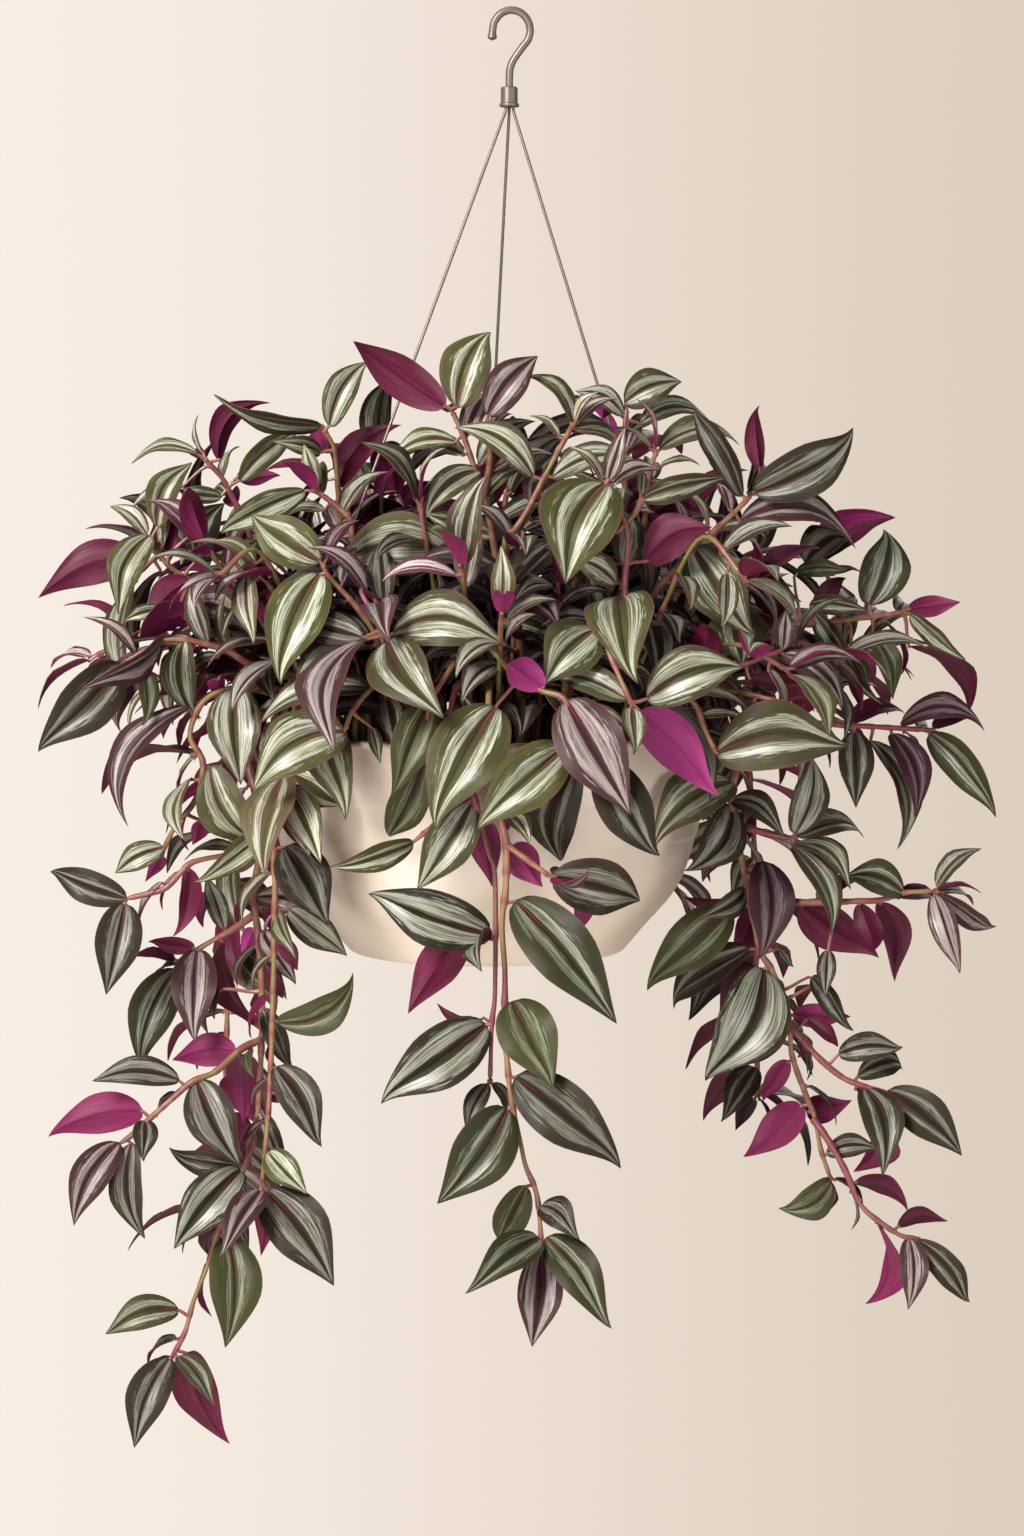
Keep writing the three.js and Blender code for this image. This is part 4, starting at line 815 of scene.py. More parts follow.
def measured_forms(leaf, places, turn_sides):
    """Forms of a measured leaf. A blade that looks narrower than it can be is turned about its axis."""
    px, py, tip_px, tip_py, width_px, *bow = leaf
    face = 1 if width_px > 0 else -1
    root = nearest_seen(places, px, py)
    base = seen(px, py, root[1])
    flat = np.linalg.norm(base - seen(tip_px, tip_py, root[1]))
    droops = (tip_py - py) / math.hypot(tip_px - px, tip_py - py)
    lean = -LEAN * flat * droops * face
    for turn_side in turn_sides:
        for size in SIZES:
            for more in TIP_DEPTHS:
                tip = base + (seen(tip_px, tip_py, root[1] + lean + more) - base) * size
                length = np.linalg.norm(tip - base)
                apparent = abs(width_px) * (CAMERA_AWAY + root[1]) * size / FOCAL
                width = max(apparent, SLIMMEST * length)
                axis = (tip - base) / length
                normal = (point(0, -CAMERA_AWAY, CAMERA_HEIGHT) - base) * face
                normal = unit(normal - axis * np.dot(normal, axis))
                normal = turned_about(normal, axis, math.acos(apparent / width) * turn_side)
                own = dict(width=width, bow=face * sum(bow), key=(px, py))
                yield dict(root=root, base=base, tip=tip, normal=normal, **own)


def ruled_forms(root, tangent, azimuth, length, broad, droop, spread=RULED["spread"]):
    """Forms of a leaf of the rule: it spreads aside from the stem, along it and a little down."""
    aside, onward = spread
    first = unit(np.cross(tangent, point(1, 0, 0) if abs(tangent[2]) > RULED["steep"] else UP))
    out = unit(point(root[0] - POT_AXIS_X, root[1], 0))
    for size in SIZES:
        for swing in SWINGS:
            axis = turned_about(first, tangent, math.radians(azimuth + swing)) * aside
            axis = unit(axis + tangent * onward - UP * droop)
            base = root + axis * RULED["stalk"]
            normal = out * RULED["face_out"] + UP
            normal = unit(normal - axis * np.dot(normal, axis))
            tip = base + axis * length * size
            own = dict(width=broad * length * size, bow=0, key=None)
            yield dict(root=root, base=base, tip=tip, normal=normal, **own)


# %% Settle the leaves that the solids have
wanted = []
for number, stem in enumerate(stems):
    for part, entry in zip(stem["lines"], stem["spec"]):
        wanted += [(leaf, number, part["shown"]) for leaf in entry["leaves"]]
wanted.sort(key=lambda row: -abs(row[0][4]))
for order, (leaf, number, places) in enumerate(wanted):
    turn_side = 1 if order % 2 else -1
    grow(stems[number], number + 1, measured_forms(leaf, places, (turn_side, -turn_side)))

for number, stem in enumerate(stems):
    main, habit = stem["lines"][0], stem["habit"]
    nodes, length = main["nodes"], main["length"]
    short, long = habit["leaf"] if habit else RULED["length"]
    turn = draw(0, 360)
    at = RULED["lowest"]
    while at < main["hidden"]:
        root, tangent = point_at(nodes, at / length), heading(nodes, at / length)
        size = draw(short, long)
        broad = draw(*RULED["width"])
        turn += 180 + draw(-RULED["wander"], RULED["wander"])
        grow(stem, number + 1, ruled_forms(root, tangent, turn, size, broad, draw(*RULED["droop"])))
        at += habit["pitch"] if habit else RULED["pitch"]
    if habit:
        tangent = unit(nodes[-1] - nodes[-2])
        last_turn, slim = turn + RULED["last_turn"], RULED["width"][0]
        grow(stem, number + 1, ruled_forms(nodes[-1] - tangent, tangent, last_turn, long, slim, 0))
print(sum(len(stem["leaves"]) for stem in stems), "leaves stand where the solids have them")

# %% Compare the stems with the solids
worst = 0
for stem in stems:
    corners = [part["nodes"] for part in stem["lines"]]
    for leaf in stem["leaves"]:
        corners.append(np.vstack([leaf["tip"][None], *(blade_row(leaf, s) for s in STATIONS)]))
    low, high = np.vstack(corners).min(0), np.vstack(corners).max(0)
    box = np.array([list(c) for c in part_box(stem["name"])]) / MM
    worst = max(worst, np.abs(np.array([low, high]) - box).max())
print(f"largest difference from a solid's box: {worst:.1f} mm")

# %% [markdown]
# ## The rest of the leaves
#
# The solids hold the large leaves only, and the real plant is much fuller. We add the small measured leaves,
# more leaves inside the crown and on the hidden side, and short young shoots that cover the soil. They look
# for room in the same grid, so none of them cuts through another.

# %% Small measured leaves
SMALL_LEAVES = {
    "stem_left_outer": [(200, 528, 161, 552, -16)],
    "stem_left_middle": [(163, 609, 124, 623, 16, -0.1)],
    "stem_left_low": [(142, 668, 142, 738, 26)],
    "stem_left_back": [
        (198, 454, 131, 464, 14, -0.1), (237, 476, 281, 476, -18), (222, 497, 177, 490, 18),
        (182, 487, 131, 509, 10),
    ],
    "stem_left_top": [(321, 453, 272, 441, 20, -0.05)],
    "stem_top_middle": [(573, 424, 519, 377, 14, -0.15)],
    "stem_top_right": [(640, 424, 715, 428, 20, 0.15)],
    "stem_right_top": [(760, 470, 760, 405, -20), (748, 493, 746, 446, 15)],
    "stem_right_front": [(748, 678, 815, 712, -20)],
    "stem_right_outer": [
        (809, 605, 868, 612, 20, 0.15), (910, 614, 966, 660, 18, 0.15), (908, 646, 966, 716, -22, 0.15),
        (758, 563, 802, 602, 18), (796, 571, 848, 570, 18, 0.1), (835, 655, 852, 682, -14),
        (850, 680, 863, 716, -14), (840, 650, 879, 716, 22, 0.1),
    ],
    "stem_rim_left": [(372, 727, 381, 764, 14)],
    "stem_front_left": [(364, 638, 294, 627, 38)],
    "vine_left_outer": [
        (191, 778, 185, 841, 18, -0.1), (163, 856, 145, 882, -16), (205, 822, 192, 845, -18),
    ],
    "vine_left": [
        (195, 947, 148, 942, -18), (254, 928, 243, 962, -18), (268, 905, 272, 935, -14),
        (205, 985, 208, 1034, 14), (218, 990, 213, 1032, 12), (262, 1020, 285, 1044, -12),
        (250, 1050, 255, 1078, 14),
    ],
    "vine_left_inner": [(278, 915, 296, 960, 20, 0.1), (285, 1092, 266, 1102, -14)],
    "vine_front": [(552, 875, 572, 937, -20), (555, 877, 589, 870, 10)],
    "vine_front_second": [(491, 939, 482, 972, 12), (485, 1018, 437, 1003, -12)],
    "vine_right": [
        (744, 888, 671, 898, -18), (812, 976, 854, 1031, 20, 0.15), (855, 1181, 908, 1212, -20, 0.1),
        (897, 1226, 948, 1221, -17, 0.1), (876, 1221, 865, 1304, -20, 0.1), (934, 890, 997, 926, 18, 0.15),
        (778, 948, 794, 967, 12), (828, 950, 826, 997, 20), (812, 985, 800, 1012, -16),
        (806, 1018, 838, 1047, -16), (792, 1028, 797, 1058, -14),
    ],
}
FINE_MARGIN = 2.6  # small leaves may grow closer together

by_name = {stem["name"]: (number + 1, stem) for number, stem in enumerate(stems)}
for name, rows in SMALL_LEAVES.items():
    number, stem = by_name[name]
    places = np.vstack([part["shown"] for part in stem["lines"]])
    for row in rows:
        forms = list(measured_forms(row, places, (1, -1)))
        stem["leaves"].append(settle(forms, number, FINE_MARGIN) or forms[0])
print(sum(map(len, SMALL_LEAVES.values())), "small measured leaves")

# %% [markdown]
# ## Where more leaves may show
#
# Leaves that we add must not fill the gaps that the picture shows, such as the open wall between two vines
# or the front of the pot. So we lay a coarse grid over the picture and mark the cells that measured leaves
# cover. A new leaf may show only where enough of the neighbourhood is marked. This thickens the plant and
# keeps its outline.

# %% The picture's crowded places
PATCH = 8
CROWD_REACH = 5
CROWDED = 0.2
CROWDED_LOW = 0.32
LOW_FROM = 800
POT_WINDOW = ((302, 742), (705, 980))
patches = np.zeros((PICTURE[0] // PATCH, PICTURE[1] // PATCH))


def patch_of(places):
    """The cell of the picture's coarse grid in which each point shows."""
    cells = np.floor(pixel_of(places) / PATCH).astype(int)
    return tuple(np.clip(cells, 0, np.array(patches.shape) - 1).T)


for stem in stems:
    if not stem["habit"]:
        for leaf in stem["leaves"]:
            patches[patch_of(blade_samples(leaf)[0])] = 1
reach = range(-CROWD_REACH, CROWD_REACH + 1)
crowd = sum(np.roll(patches, (i, j), (0, 1)) for i in reach for j in reach) / len(reach) ** 2


def may_show(leaf):
    """True if the tip and the middle of a leaf show in crowded places and not in front of the pot. Among
    the hanging vines, the places must be more crowded."""
    ends = np.array([leaf["tip"], (leaf["tip"] + leaf["base"]) / 2])
    low, high = np.array(POT_WINDOW)
    pixels = pixel_of(ends)
    before_pot = np.any(np.all((pixels > low) & (pixels < high), axis=1))
    limit = np.where(pixels[:, 1] < LOW_FROM, CROWDED, CROWDED_LOW)
    return np.all(crowd[patch_of(ends)] >= limit) and not before_pot


print(f"the measured leaves cover {patches.mean():.0%} of the picture")

# %% [markdown]
# ## Leaves that fill the stems
#
# The stems inside the crown carry leaves all along. Where a measured stem shows, its new leaves must turn
# away from the camera, so that none hides a measured one. Every stem and branch also ends in two young
# leaves, one on either side of it.

# %% Filling leaves
FILL_PITCH = 13
FILL_LENGTH = (30, 56)
FILL_LOWEST = 22
BACK_FILL_PITCH = 15
SIDE_PITCH = 8
BEHIND_BY = 3.0
SIDE_LENGTH = (20, 40)
SIDE_WIDTH = (0.36, 0.46)
END_BACK = 1.0
END_SPREAD = (0.5, 0.8)
END_LENGTH = (20, 32)
SPARSE_STEMS = ("vine_front", "vine_front_second")
HANG_SPREAD = (0.62, 0.8)
HANG_PITCH = 11
HANGS_BELOW = -440.0


def fill_stem(number, stem, part, start, end, pitch, lengths, allowed, spread=RULED["spread"]):
    """Leaves along a stretch of a stem or branch, on alternate sides, where they find room and may show."""
    turn = draw(0, 360)
    for share in np.arange(start, end, pitch) / part["length"]:
        turn += 180 + draw(-2 * RULED["wander"], 2 * RULED["wander"])
        size, broad, droop = draw(*lengths), draw(*SIDE_WIDTH), draw(*RULED["droop"])
        root, tangent = point_at(part["nodes"], share), heading(part["nodes"], share)
        forms = ruled_forms(root, tangent, turn, size, broad, droop, spread)
        grow(stem, number, filter(allowed, forms), FINE_MARGIN)


def end_leaves(number, stem, part, lengths, allowed):
    """Two young leaves at the end of a stem or branch, on either side of it and along it."""
    tangent = unit(part["nodes"][-1] - part["nodes"][-2])
    root = part["nodes"][-1] - tangent * END_BACK
    turn = draw(0, 360)
    for side in (0, 180):
        size, broad = draw(*lengths), draw(*SIDE_WIDTH)
        forms = ruled_forms(root, tangent, turn + side, size, broad, 0, END_SPREAD)
        grow(stem, number, filter(allowed, forms), FINE_MARGIN)


def anywhere(leaf):
    """No limit but room."""
    return True


def behind(leaf):
    """A leaf that turns away from the camera, so that it can't hide a measured one, and may show."""
    return leaf["tip"][1] > leaf["root"][1] - BEHIND_BY and may_show(leaf)


for number, stem in enumerate(stems):
    main = stem["lines"][0]
    pitch = BACK_FILL_PITCH if stem["habit"] else FILL_PITCH
    fill_stem(number + 1, stem, main, FILL_LOWEST, main["hidden"], pitch, FILL_LENGTH, anywhere)
inner_leaves = sum(len(stem["leaves"]) for stem in stems)
for number, stem in enumerate(stems):
    for part in stem["lines"]:
        end_leaves(number + 1, stem, part, END_LENGTH, anywhere)
    if not stem["habit"] and stem["name"] not in SPARSE_STEMS:
        for part in stem["lines"]:
            start = part.get("hidden", SIDE_PITCH)
            hangs = part["nodes"][-1][2] < HANGS_BELOW
            pitch, spread = (HANG_PITCH, HANG_SPREAD) if hangs else (SIDE_PITCH, RULED["spread"])
            fill_stem(number + 1, stem, part, start, part["length"], pitch, SIDE_LENGTH, behind, spread)
small_leaves = sum(len(stem["leaves"]) for stem in stems) - inner_leaves
print(inner_leaves, "leaves, and", small_leaves, "small ones behind them")

# %% [markdown]
# ## Young shoots
#
# Between the stems, short shoots cover the soil. A spiral of equal turns spreads them evenly over it, as
# seeds lie in a sunflower, and those in the middle are taller. At the two sides of the pot more of them
# lean out over the rim. Of a few that are tried there, the one that meets the fewest filled cells is kept.

# %% Shoots over the soil
GOLDEN_TURN = 137.508
SHOOT_COUNT = 92
SHOOT_HEIGHT = (40, 118)
SHOOT_TALLER = 80
SHOOT_RING = 111
SHOOT_DEPTH = 4
SHOOT_CLEAR = 8
SHOOT_LEAN = 0.5
LEANING_TURNS = ((-44, 60, 6), (124, 226, 6))
LEANING_TRIES = 8
LEANING_STRAY = 4
LEANING_RISE = (15, 120)
LEANING_REACH = (25, 95)
LEANING_FOOT = 103
LEANING_UPRIGHT = (3, 24)
LEANING_OVER_RIM = 14
LEANING_SINKS = (0.5, 1)


def shoot_along(*points):
    """A young shoot on a smooth line through points, without leaves yet."""
    return dict(lines=[line(points)], leaves=[])


def leaning(turn):
    """A shoot that leans out over the rim, of a few that have their own turn, height and reach."""
    tries = []
    for _ in range(LEANING_TRIES):
        degrees = turn + draw(-LEANING_STRAY, LEANING_STRAY)
        rise, reach = draw(*LEANING_RISE), draw(*LEANING_REACH)
        aside, above = LEANING_UPRIGHT
        shoot = shoot_along(
            round_pot(degrees, LEANING_FOOT, SOIL_Z - SHOOT_DEPTH),
            round_pot(degrees, LEANING_FOOT + aside, SOIL_Z + above),
            round_pot(degrees, FLANGE_RADIUS, RIM_Z + LEANING_OVER_RIM + rise / 2),
            round_pot(degrees, FLANGE_RADIUS + reach / 2, RIM_Z + rise),
            round_pot(degrees, FLANGE_RADIUS + reach, RIM_Z + rise * draw(*LEANING_SINKS)),
        )
        met = np.count_nonzero(room[cells_of(shoot["lines"][0]["places"])])
        tries.append((met, len(tries), shoot))
    return min(tries, key=lambda row: row[:2])[2]


shoots = []
for k in range(SHOOT_COUNT):
    share = (k + 0.5) / SHOOT_COUNT
    height = draw(*SHOOT_HEIGHT) + SHOOT_TALLER * (1 - share) * draw(0, 1)
    foot = round_pot(k * GOLDEN_TURN, SHOOT_RING * math.sqrt(share), SOIL_Z - SHOOT_DEPTH)
    if not room[cells_of(foot[None] + UP * SHOOT_CLEAR)][0]:
        out = (foot - point(POT_AXIS_X, 0, foot[2])) / SHOOT_RING
        bend = foot + UP * height / 2 + out * height * SHOOT_LEAN / 4
        shoots.append(shoot_along(foot, bend, foot + UP * height + out * height * SHOOT_LEAN))
shoots += [leaning(turn) for side in LEANING_TURNS for turn in range(*side)]
print(len(shoots), "shoots find a place")

# %% [markdown]
# ## Leaves of the shoots
#
# A shoot gets its two end leaves and pairs of leaves below them, where the picture is crowded. One that
# finds no room for any leaf is left out, and the others end at their last leaf, so that no bare stub stands
# over it.

# %% Leaves on the shoots
SHOOT_LEAF = (26, 48)
SHOOT_PITCH = 12
SHOOT_STEPS = 60
SHOOT_LEAST = 4
SHOOT_POINTS = 4

for k, shoot in enumerate(shoots):
    number = len(stems) + 1 + k
    part = shoot["lines"][0]
    fill(part["places"], STEM_MARGIN / 2, 2 * number)
    end_leaves(number, shoot, part, SHOOT_LEAF, may_show)
    fill_stem(number, shoot, part, FILL_LOWEST, part["length"], SHOOT_PITCH, SHOOT_LEAF, may_show)
shoots = [shoot for shoot in shoots if shoot["leaves"]]
for shoot in shoots:
    part = shoot["lines"][0]
    path, length = even_places(part["points"], SHOOT_STEPS)
    last = max(np.argmin(np.linalg.norm(path - leaf["root"], axis=1)) for leaf in shoot["leaves"])
    if last < SHOOT_STEPS:
        last = max(last, SHOOT_LEAST)
        part["points"] = path[np.linspace(0, last, SHOOT_POINTS).astype(int)]
        part["length"] = length * last / SHOOT_STEPS
print(sum(len(shoot["leaves"]) for shoot in shoots), "leaves on", len(shoots), "young shoots")

# %% [markdown]
# ## How the leaves look
#
# The leaves of this plant aren't all alike. Most are dark green with silver bands, young ones and those in
# the sun flush purple, a few are pale, and some in the shade are olive. Each leaf carries four numbers as
# attributes of its mesh: how purple it is, how strong its silver is, how light it is, and a seed for its
# streaks. How light it is stands partly for the leaf's own tone and partly for painted light and shade.
# The materials read them, so one material serves every leaf.

# %% Tints of single leaves
# Each tint is a purple flush, a strength of silver and a lightness; the lightness is partly the leaf's own
# tone and partly painted light and shade.
GREEN = (0.1, 0.72, 0.55)
DARK = (0.16, 0.45, 0.3)
OLIVE = (0.0, 0.16, 0.5)
FOREST = (0.0, 0.45, 0.38)
DUSK = (0.26, 0.46, 0.34)
FROST = (0.05, 1.25, 0.28)
MAGENTA = (1.0, 0.3, 0.57)
PALE = (0.0, 0.95, 0.62)
MAUVE = (0.75, 0.6, 0.42)
PLUM = (1.0, 0.2, 0.27)
WINE = (1.0, 0.3, 0.34)
BRIGHT = (1.0, 0.3, 0.75)
TINTS = {
    MAUVE: [
        (180, 608), (363, 640), (254, 897), (566, 700), (190, 868), (909, 1238), (462, 934), (934, 894),
        (487, 416), (739, 522), (783, 654), (197, 949), (119, 1142), (261, 1190), (262, 930), (190, 706),
        (160, 641), (160, 646), (542, 1254),
    ],
    WINE: [
        (144, 560), (191, 580), (339, 487), (446, 407), (218, 461), (908, 646), (800, 905), (646, 562),
    ],
    BRIGHT: [(545, 688), (640, 711), (254, 928)],
    MAGENTA: [
        (240, 1054), (552, 875), (143, 1110), (792, 1015), (802, 1105), (806, 1112), (876, 1221),
        (788, 1060), (855, 1088),
    ],
    PLUM: [
        (900, 724), (891, 733), (859, 903), (880, 902), (764, 861), (861, 1181), (748, 678), (850, 680),
        (806, 1018),
    ],
    PALE: [
        (306, 490), (320, 573), (258, 541), (498, 614), (272, 828), (268, 1152), (450, 408), (624, 478),
    ],
    DARK: [
        (122, 664), (364, 638), (732, 805), (600, 760), (285, 846), (575, 765), (854, 731), (752, 493),
        (743, 497), (197, 560),
    ],
    OLIVE: [
        (730, 907), (277, 1023), (228, 1236), (430, 702), (425, 760), (872, 637), (142, 668), (840, 650),
        (796, 571), (205, 985), (218, 990), (250, 1050), (832, 1181), (526, 1185), (512, 1001),
    ],
    FOREST: [
        (869, 606), (785, 1027), (904, 893), (178, 968), (929, 733), (515, 900), (540, 1238), (508, 1108),
    ],
    DUSK: [
        (127, 899), (125, 903), (180, 1080), (240, 1166), (132, 1142), (276, 1066), (266, 1190),
        (145, 1120), (170, 1357), (750, 948), (826, 1153), (197, 1081), (192, 754), (551, 877),
    ],
    FROST: [(764, 968), (242, 1168), (491, 935), (487, 1024)],
}
NEAR_PIXELS = 7
tint_rows = np.array([[*key, *tint] for tint, keys in TINTS.items() for key in keys])
print(len(tint_rows), "leaves have a tint of their own")

# %% [markdown]
# ## Tints of all the others
#
# Every other leaf starts from plain green, softer below the pot and painted lighter towards the window, as
# painted light, and strays from it by random draws. The leaves of the rule stray more. Those deep inside the
# crown are painted darker and with less silver, as painted shade where little light reaches, and more of
# them are purple.

# %% Tint of any leaf
VINE_TINT = (0.14, 0.45, 0.35)
BELOW_POT = (-430.0, 90.0)
# painted light: lightness added per mm towards the window, on the left
PAINTED_SUN_SIDE = 0.0004
MEASURED_STRAY = (0.08, 0.15, 0.08)
RULED_STRAY = (0.0, 0.25, 0.2)
RULED_SILVER = -0.06
RULED_LIGHT = 0.04
SHADE_SILVER = -0.3
FLUSH_POWER = 1.5
FLUSH_OFTEN = 0.6
FLUSH_INSIDE = 0.3
FLUSH_FAINT = 0.2
CROWN_MIDDLE = point(POT_AXIS_X, 0, -345)
CROWN_REACH = point(205, 165, 120)
SHADE_FROM, SHADE_TO = 0.5, 1.0
DARKEST = 0.1
OVER_LIGHT = 0.72


def tint_of(leaf):
    """The tint of its own, if the leaf's base is near a named pixel, or plain green a little astray, painted
    lighter towards the window. For a leaf of the rule, `painted_daylight` goes from 0 in the middle of the
    crown to 1 at its reach; it paints shade by darkening leaves and dimming their silver towards the middle.
    The flush is a power of a random number, so that most flushes are faint."""
    stray = np.array([draw(-1, 1) for _ in range(3)])
    low = np.clip((BELOW_POT[0] - leaf["base"][2]) / BELOW_POT[1], 0, 1)
    plain = np.array(GREEN) * (1 - low) + np.array(VINE_TINT) * low
    # painted light: leaves on the left, towards the window, are made lighter
    plain[2] -= PAINTED_SUN_SIDE * leaf["base"][0]
    if leaf["key"] is not None:
        gaps = np.hypot(*(tint_rows[:, :2] - leaf["key"]).T)
        if gaps.min() < NEAR_PIXELS:
            return tint_rows[np.argmin(gaps), 2:]
        return plain + stray * MEASURED_STRAY
    middle = (leaf["base"] + leaf["tip"]) / 2
    out = np.linalg.norm((middle - CROWN_MIDDLE) / CROWN_REACH)
    painted_daylight = np.clip((out - SHADE_FROM) / (SHADE_TO - SHADE_FROM), 0, 1)
    flushed = draw(0, 1) < FLUSH_OFTEN + FLUSH_INSIDE * (1 - painted_daylight)
    purple = abs(stray[0]) ** FLUSH_POWER * (1 if flushed else FLUSH_FAINT)
    plain = plain + stray * RULED_STRAY
    # painted shade: leaves deeper in the crown get less silver
    plain = plain + (purple, RULED_SILVER + SHADE_SILVER * (1 - painted_daylight), RULED_LIGHT)
    if leaf["over"]:
        plain = plain * (1, 1, OVER_LIGHT)
    # painted shade: leaves deeper in the crown are darkened
    return plain * (1, 1, DARKEST + (1 - DARKEST) * painted_daylight)


# %% [markdown]
# ## The shape of a leaf
#
# A leaf is a closed body, two curved faces half a millimetre apart, so it doesn't vanish from the side. Both
# come from one formula of two numbers: `s` runs from base to tip and `u` from the left edge to the right.
# numpy works it out for all leaves of a stem at once.

# %% The blade as a surface of two parameters
BLADE_GRID = (16, 8)
SMALL_GRID = (9, 4)
BLADE_THICK = 0.5
WIDEST_AT = 0.44
ROUND_BASE = 0.55
POINTED_TIP = 0.75
DRAWN_FROM = 0.5
DRAWN_BY = 0.62
DRAWN_POWER = 1.5
FOLD = 0.72
FOLD_BACK = 0.6
WAVE = 0.06
WAVES_ALONG, WAVES_ACROSS, WAVE_SHIFT = 2.2, 0.25, 7
TIP_DROOP = 0.3
SIDE_BEND = 0.03
TIP_HOOK = 0.6
TIP_HOOK_POWER = 6
SAG = 0.1
TWIST = 0.3


def outline(s):
    """Half width as a share of the greatest: a power of s makes the round base, a power of 1 - s the point,
    and from the middle on the tip is drawn in more and more."""
    whole = (s / WIDEST_AT) ** ROUND_BASE * ((1 - s) / (1 - WIDEST_AT)) ** POINTED_TIP
    return whole * (1 - DRAWN_BY * np.clip((s - DRAWN_FROM) / (1 - DRAWN_FROM), 0, 1) ** DRAWN_POWER)


def either_way(seed, factor):
    """A number from -1 to 1 that follows from a seed: the fraction of the seed times a factor."""
    return 2 * ((seed * factor) % 1) - 1


def blade_surface(leaves, seeds, s, u):
    """Points of many blades: the straight line from base to tip, plus an arch and a drooping tip along the
    normal, plus the half width along the side. Across, the blade folds up from the midrib and bends back
    towards its edges, a height of |u| (1 - k |u|). A measured blade has its own bow to the side. A blade of
    the rule sags, so that its middle is higher than the line. A wave, a bend, a twist and a hooked tip vary
    each blade by its seed."""

    def column(values):
        return np.array(list(values))[:, None, None]

    base, tip, normal = (column(leaf[key] for leaf in leaves) for key in ("base", "tip", "normal"))
    half = column(leaf["width"] / 2 for leaf in leaves)
    bow = column(leaf["bow"] for leaf in leaves)
    ruled = column(leaf["key"] is None for leaf in leaves)
    seed = column(seeds)
    s, u = s[None, :, None], u[None, None, :]
    length = np.linalg.norm(tip - base, axis=-1)
    axis = (tip - base) / length[..., None]
    side = np.cross(normal, axis)
    across = outline(s) * half * u
    turn = TWIST * either_way(seed, 1) * s
    lift = FOLD * outline(s) * half * np.abs(u) * (1 - FOLD_BACK * np.abs(u))
    phase = 2 * np.pi * (WAVES_ALONG * s + seed * WAVE_SHIFT + WAVES_ACROSS * u)
    lift = lift + WAVE * half * outline(s) * np.abs(u) ** 3 * np.sin(phase)
    rise = ARCH * length * 4 * s * (1 - s) + TIP_DROOP * length * s**2 * (1 - s)
    rise = rise + lift * np.cos(turn) + across * np.sin(turn)
    bend = SIDE_BEND * either_way(seed, 13) + bow + SAG * ruled * side[..., 2]
    hooked = TIP_HOOK * either_way(seed, 29) * length * s**TIP_HOOK_POWER * (1 - s)
    aside = across * np.cos(turn) + bend * length * 4 * s * (1 - s) + hooked
    onward = length * s + 0 * u
    places = base + axis * onward[..., None] + normal * rise[..., None] + side * aside[..., None]
    return places, normal


print("the widest place of a blade is", round(float(outline(WIDEST_AT)), 2), "of its width")

# %% [markdown]
# ## The faces of a blade
#
# All blades of one grid have the same faces: quads over the grid above and below, a rim of quads between
# them, and triangles that close the base and the tip. We number them once and repeat them for each blade.

# %% Faces of blades


def faces_of(*corners):
    """Faces with three or four corners each, from as many arrays of point numbers."""
    return np.stack(np.broadcast_arrays(*corners), axis=-1).reshape(-1, len(corners))


def blade_faces(rows, columns):
    """The faces of one blade as numbers of its points: upper rows, lower rows, then base and tip."""
    grid = np.arange(rows * (columns + 1)).reshape(rows, columns + 1)
    below = grid + grid.size
    base, tip = 2 * grid.size, 2 * grid.size + 1
    upper = [
        faces_of(grid[:-1, :-1], grid[1:, :-1], grid[1:, 1:], grid[:-1, 1:]),
        faces_of(grid[:-1, 0], below[:-1, 0], below[1:, 0], grid[1:, 0]),
        faces_of(grid[:-1, -1], grid[1:, -1], below[1:, -1], below[:-1, -1]),
    ]
    lower = [faces_of(below[:-1, :-1], below[:-1, 1:], below[1:, 1:], below[1:, :-1])]
    upper_ends = [
        faces_of(base, grid[0, :-1], grid[0, 1:]),
        faces_of(grid[-1, :-1], tip, grid[-1, 1:]),
        faces_of(base, below[0, 0], grid[0, 0]),
        faces_of(base, grid[0, -1], below[0, -1]),
        faces_of(grid[-1, 0], below[-1, 0], tip),
        faces_of(below[-1, -1], grid[-1, -1], tip),
    ]
    lower_ends = [
        faces_of(base, below[0, 1:], below[0, :-1]),
        faces_of(below[-1, 1:], tip, below[-1, :-1]),
    ]
    return [np.vstack(group) for group in (upper, lower, upper_ends, lower_ends)]


def repeated(faces, count, step):
    """The faces of one body, repeated for a count of bodies whose points follow one another."""
    return (faces[None] + (np.arange(count) * step)[:, None, None]).reshape(-1, faces.shape[1])


for grid in (BLADE_GRID, SMALL_GRID):
    print("a blade of", grid, "rows and columns has", sum(map(len, blade_faces(*grid))), "faces")

# %% [markdown]
# ## Many blades at once
#
# Purple undersides show wherever a leaf is twisted, so some leaves of the rule are turned over: their two
# materials change places. Then every blade's points, map and tint are worked out together.

# %% Blades with their map and tints
UPPER, LOWER, STALK = 0, 1, 2
BACK_OVER = 0.6
INNER_OVER = 0.4
LOW_OVER = 0.4
BACK_TOP = -335.0
INNER_FROM = -70.0
INNER_TOP = -395.0


def turned_over(leaf):
    """Whether a leaf of the rule shows its other face, as twisted ones do: some at the top of the hidden
    side, some on the vines and a few inside the crown."""
    chance = draw(0, 1)
    if leaf["key"] is not None:
        return False
    if leaf["base"][1] > 0 and leaf["base"][2] > BACK_TOP and leaf["normal"][1] > 0:
        return chance < BACK_OVER
    if leaf["base"][2] < BELOW_POT[0]:
        return chance < LOW_OVER
    inside = leaf["base"][1] > INNER_FROM and leaf["base"][2] > INNER_TOP
    return inside and leaf["normal"][1] < 0 and chance < INNER_OVER


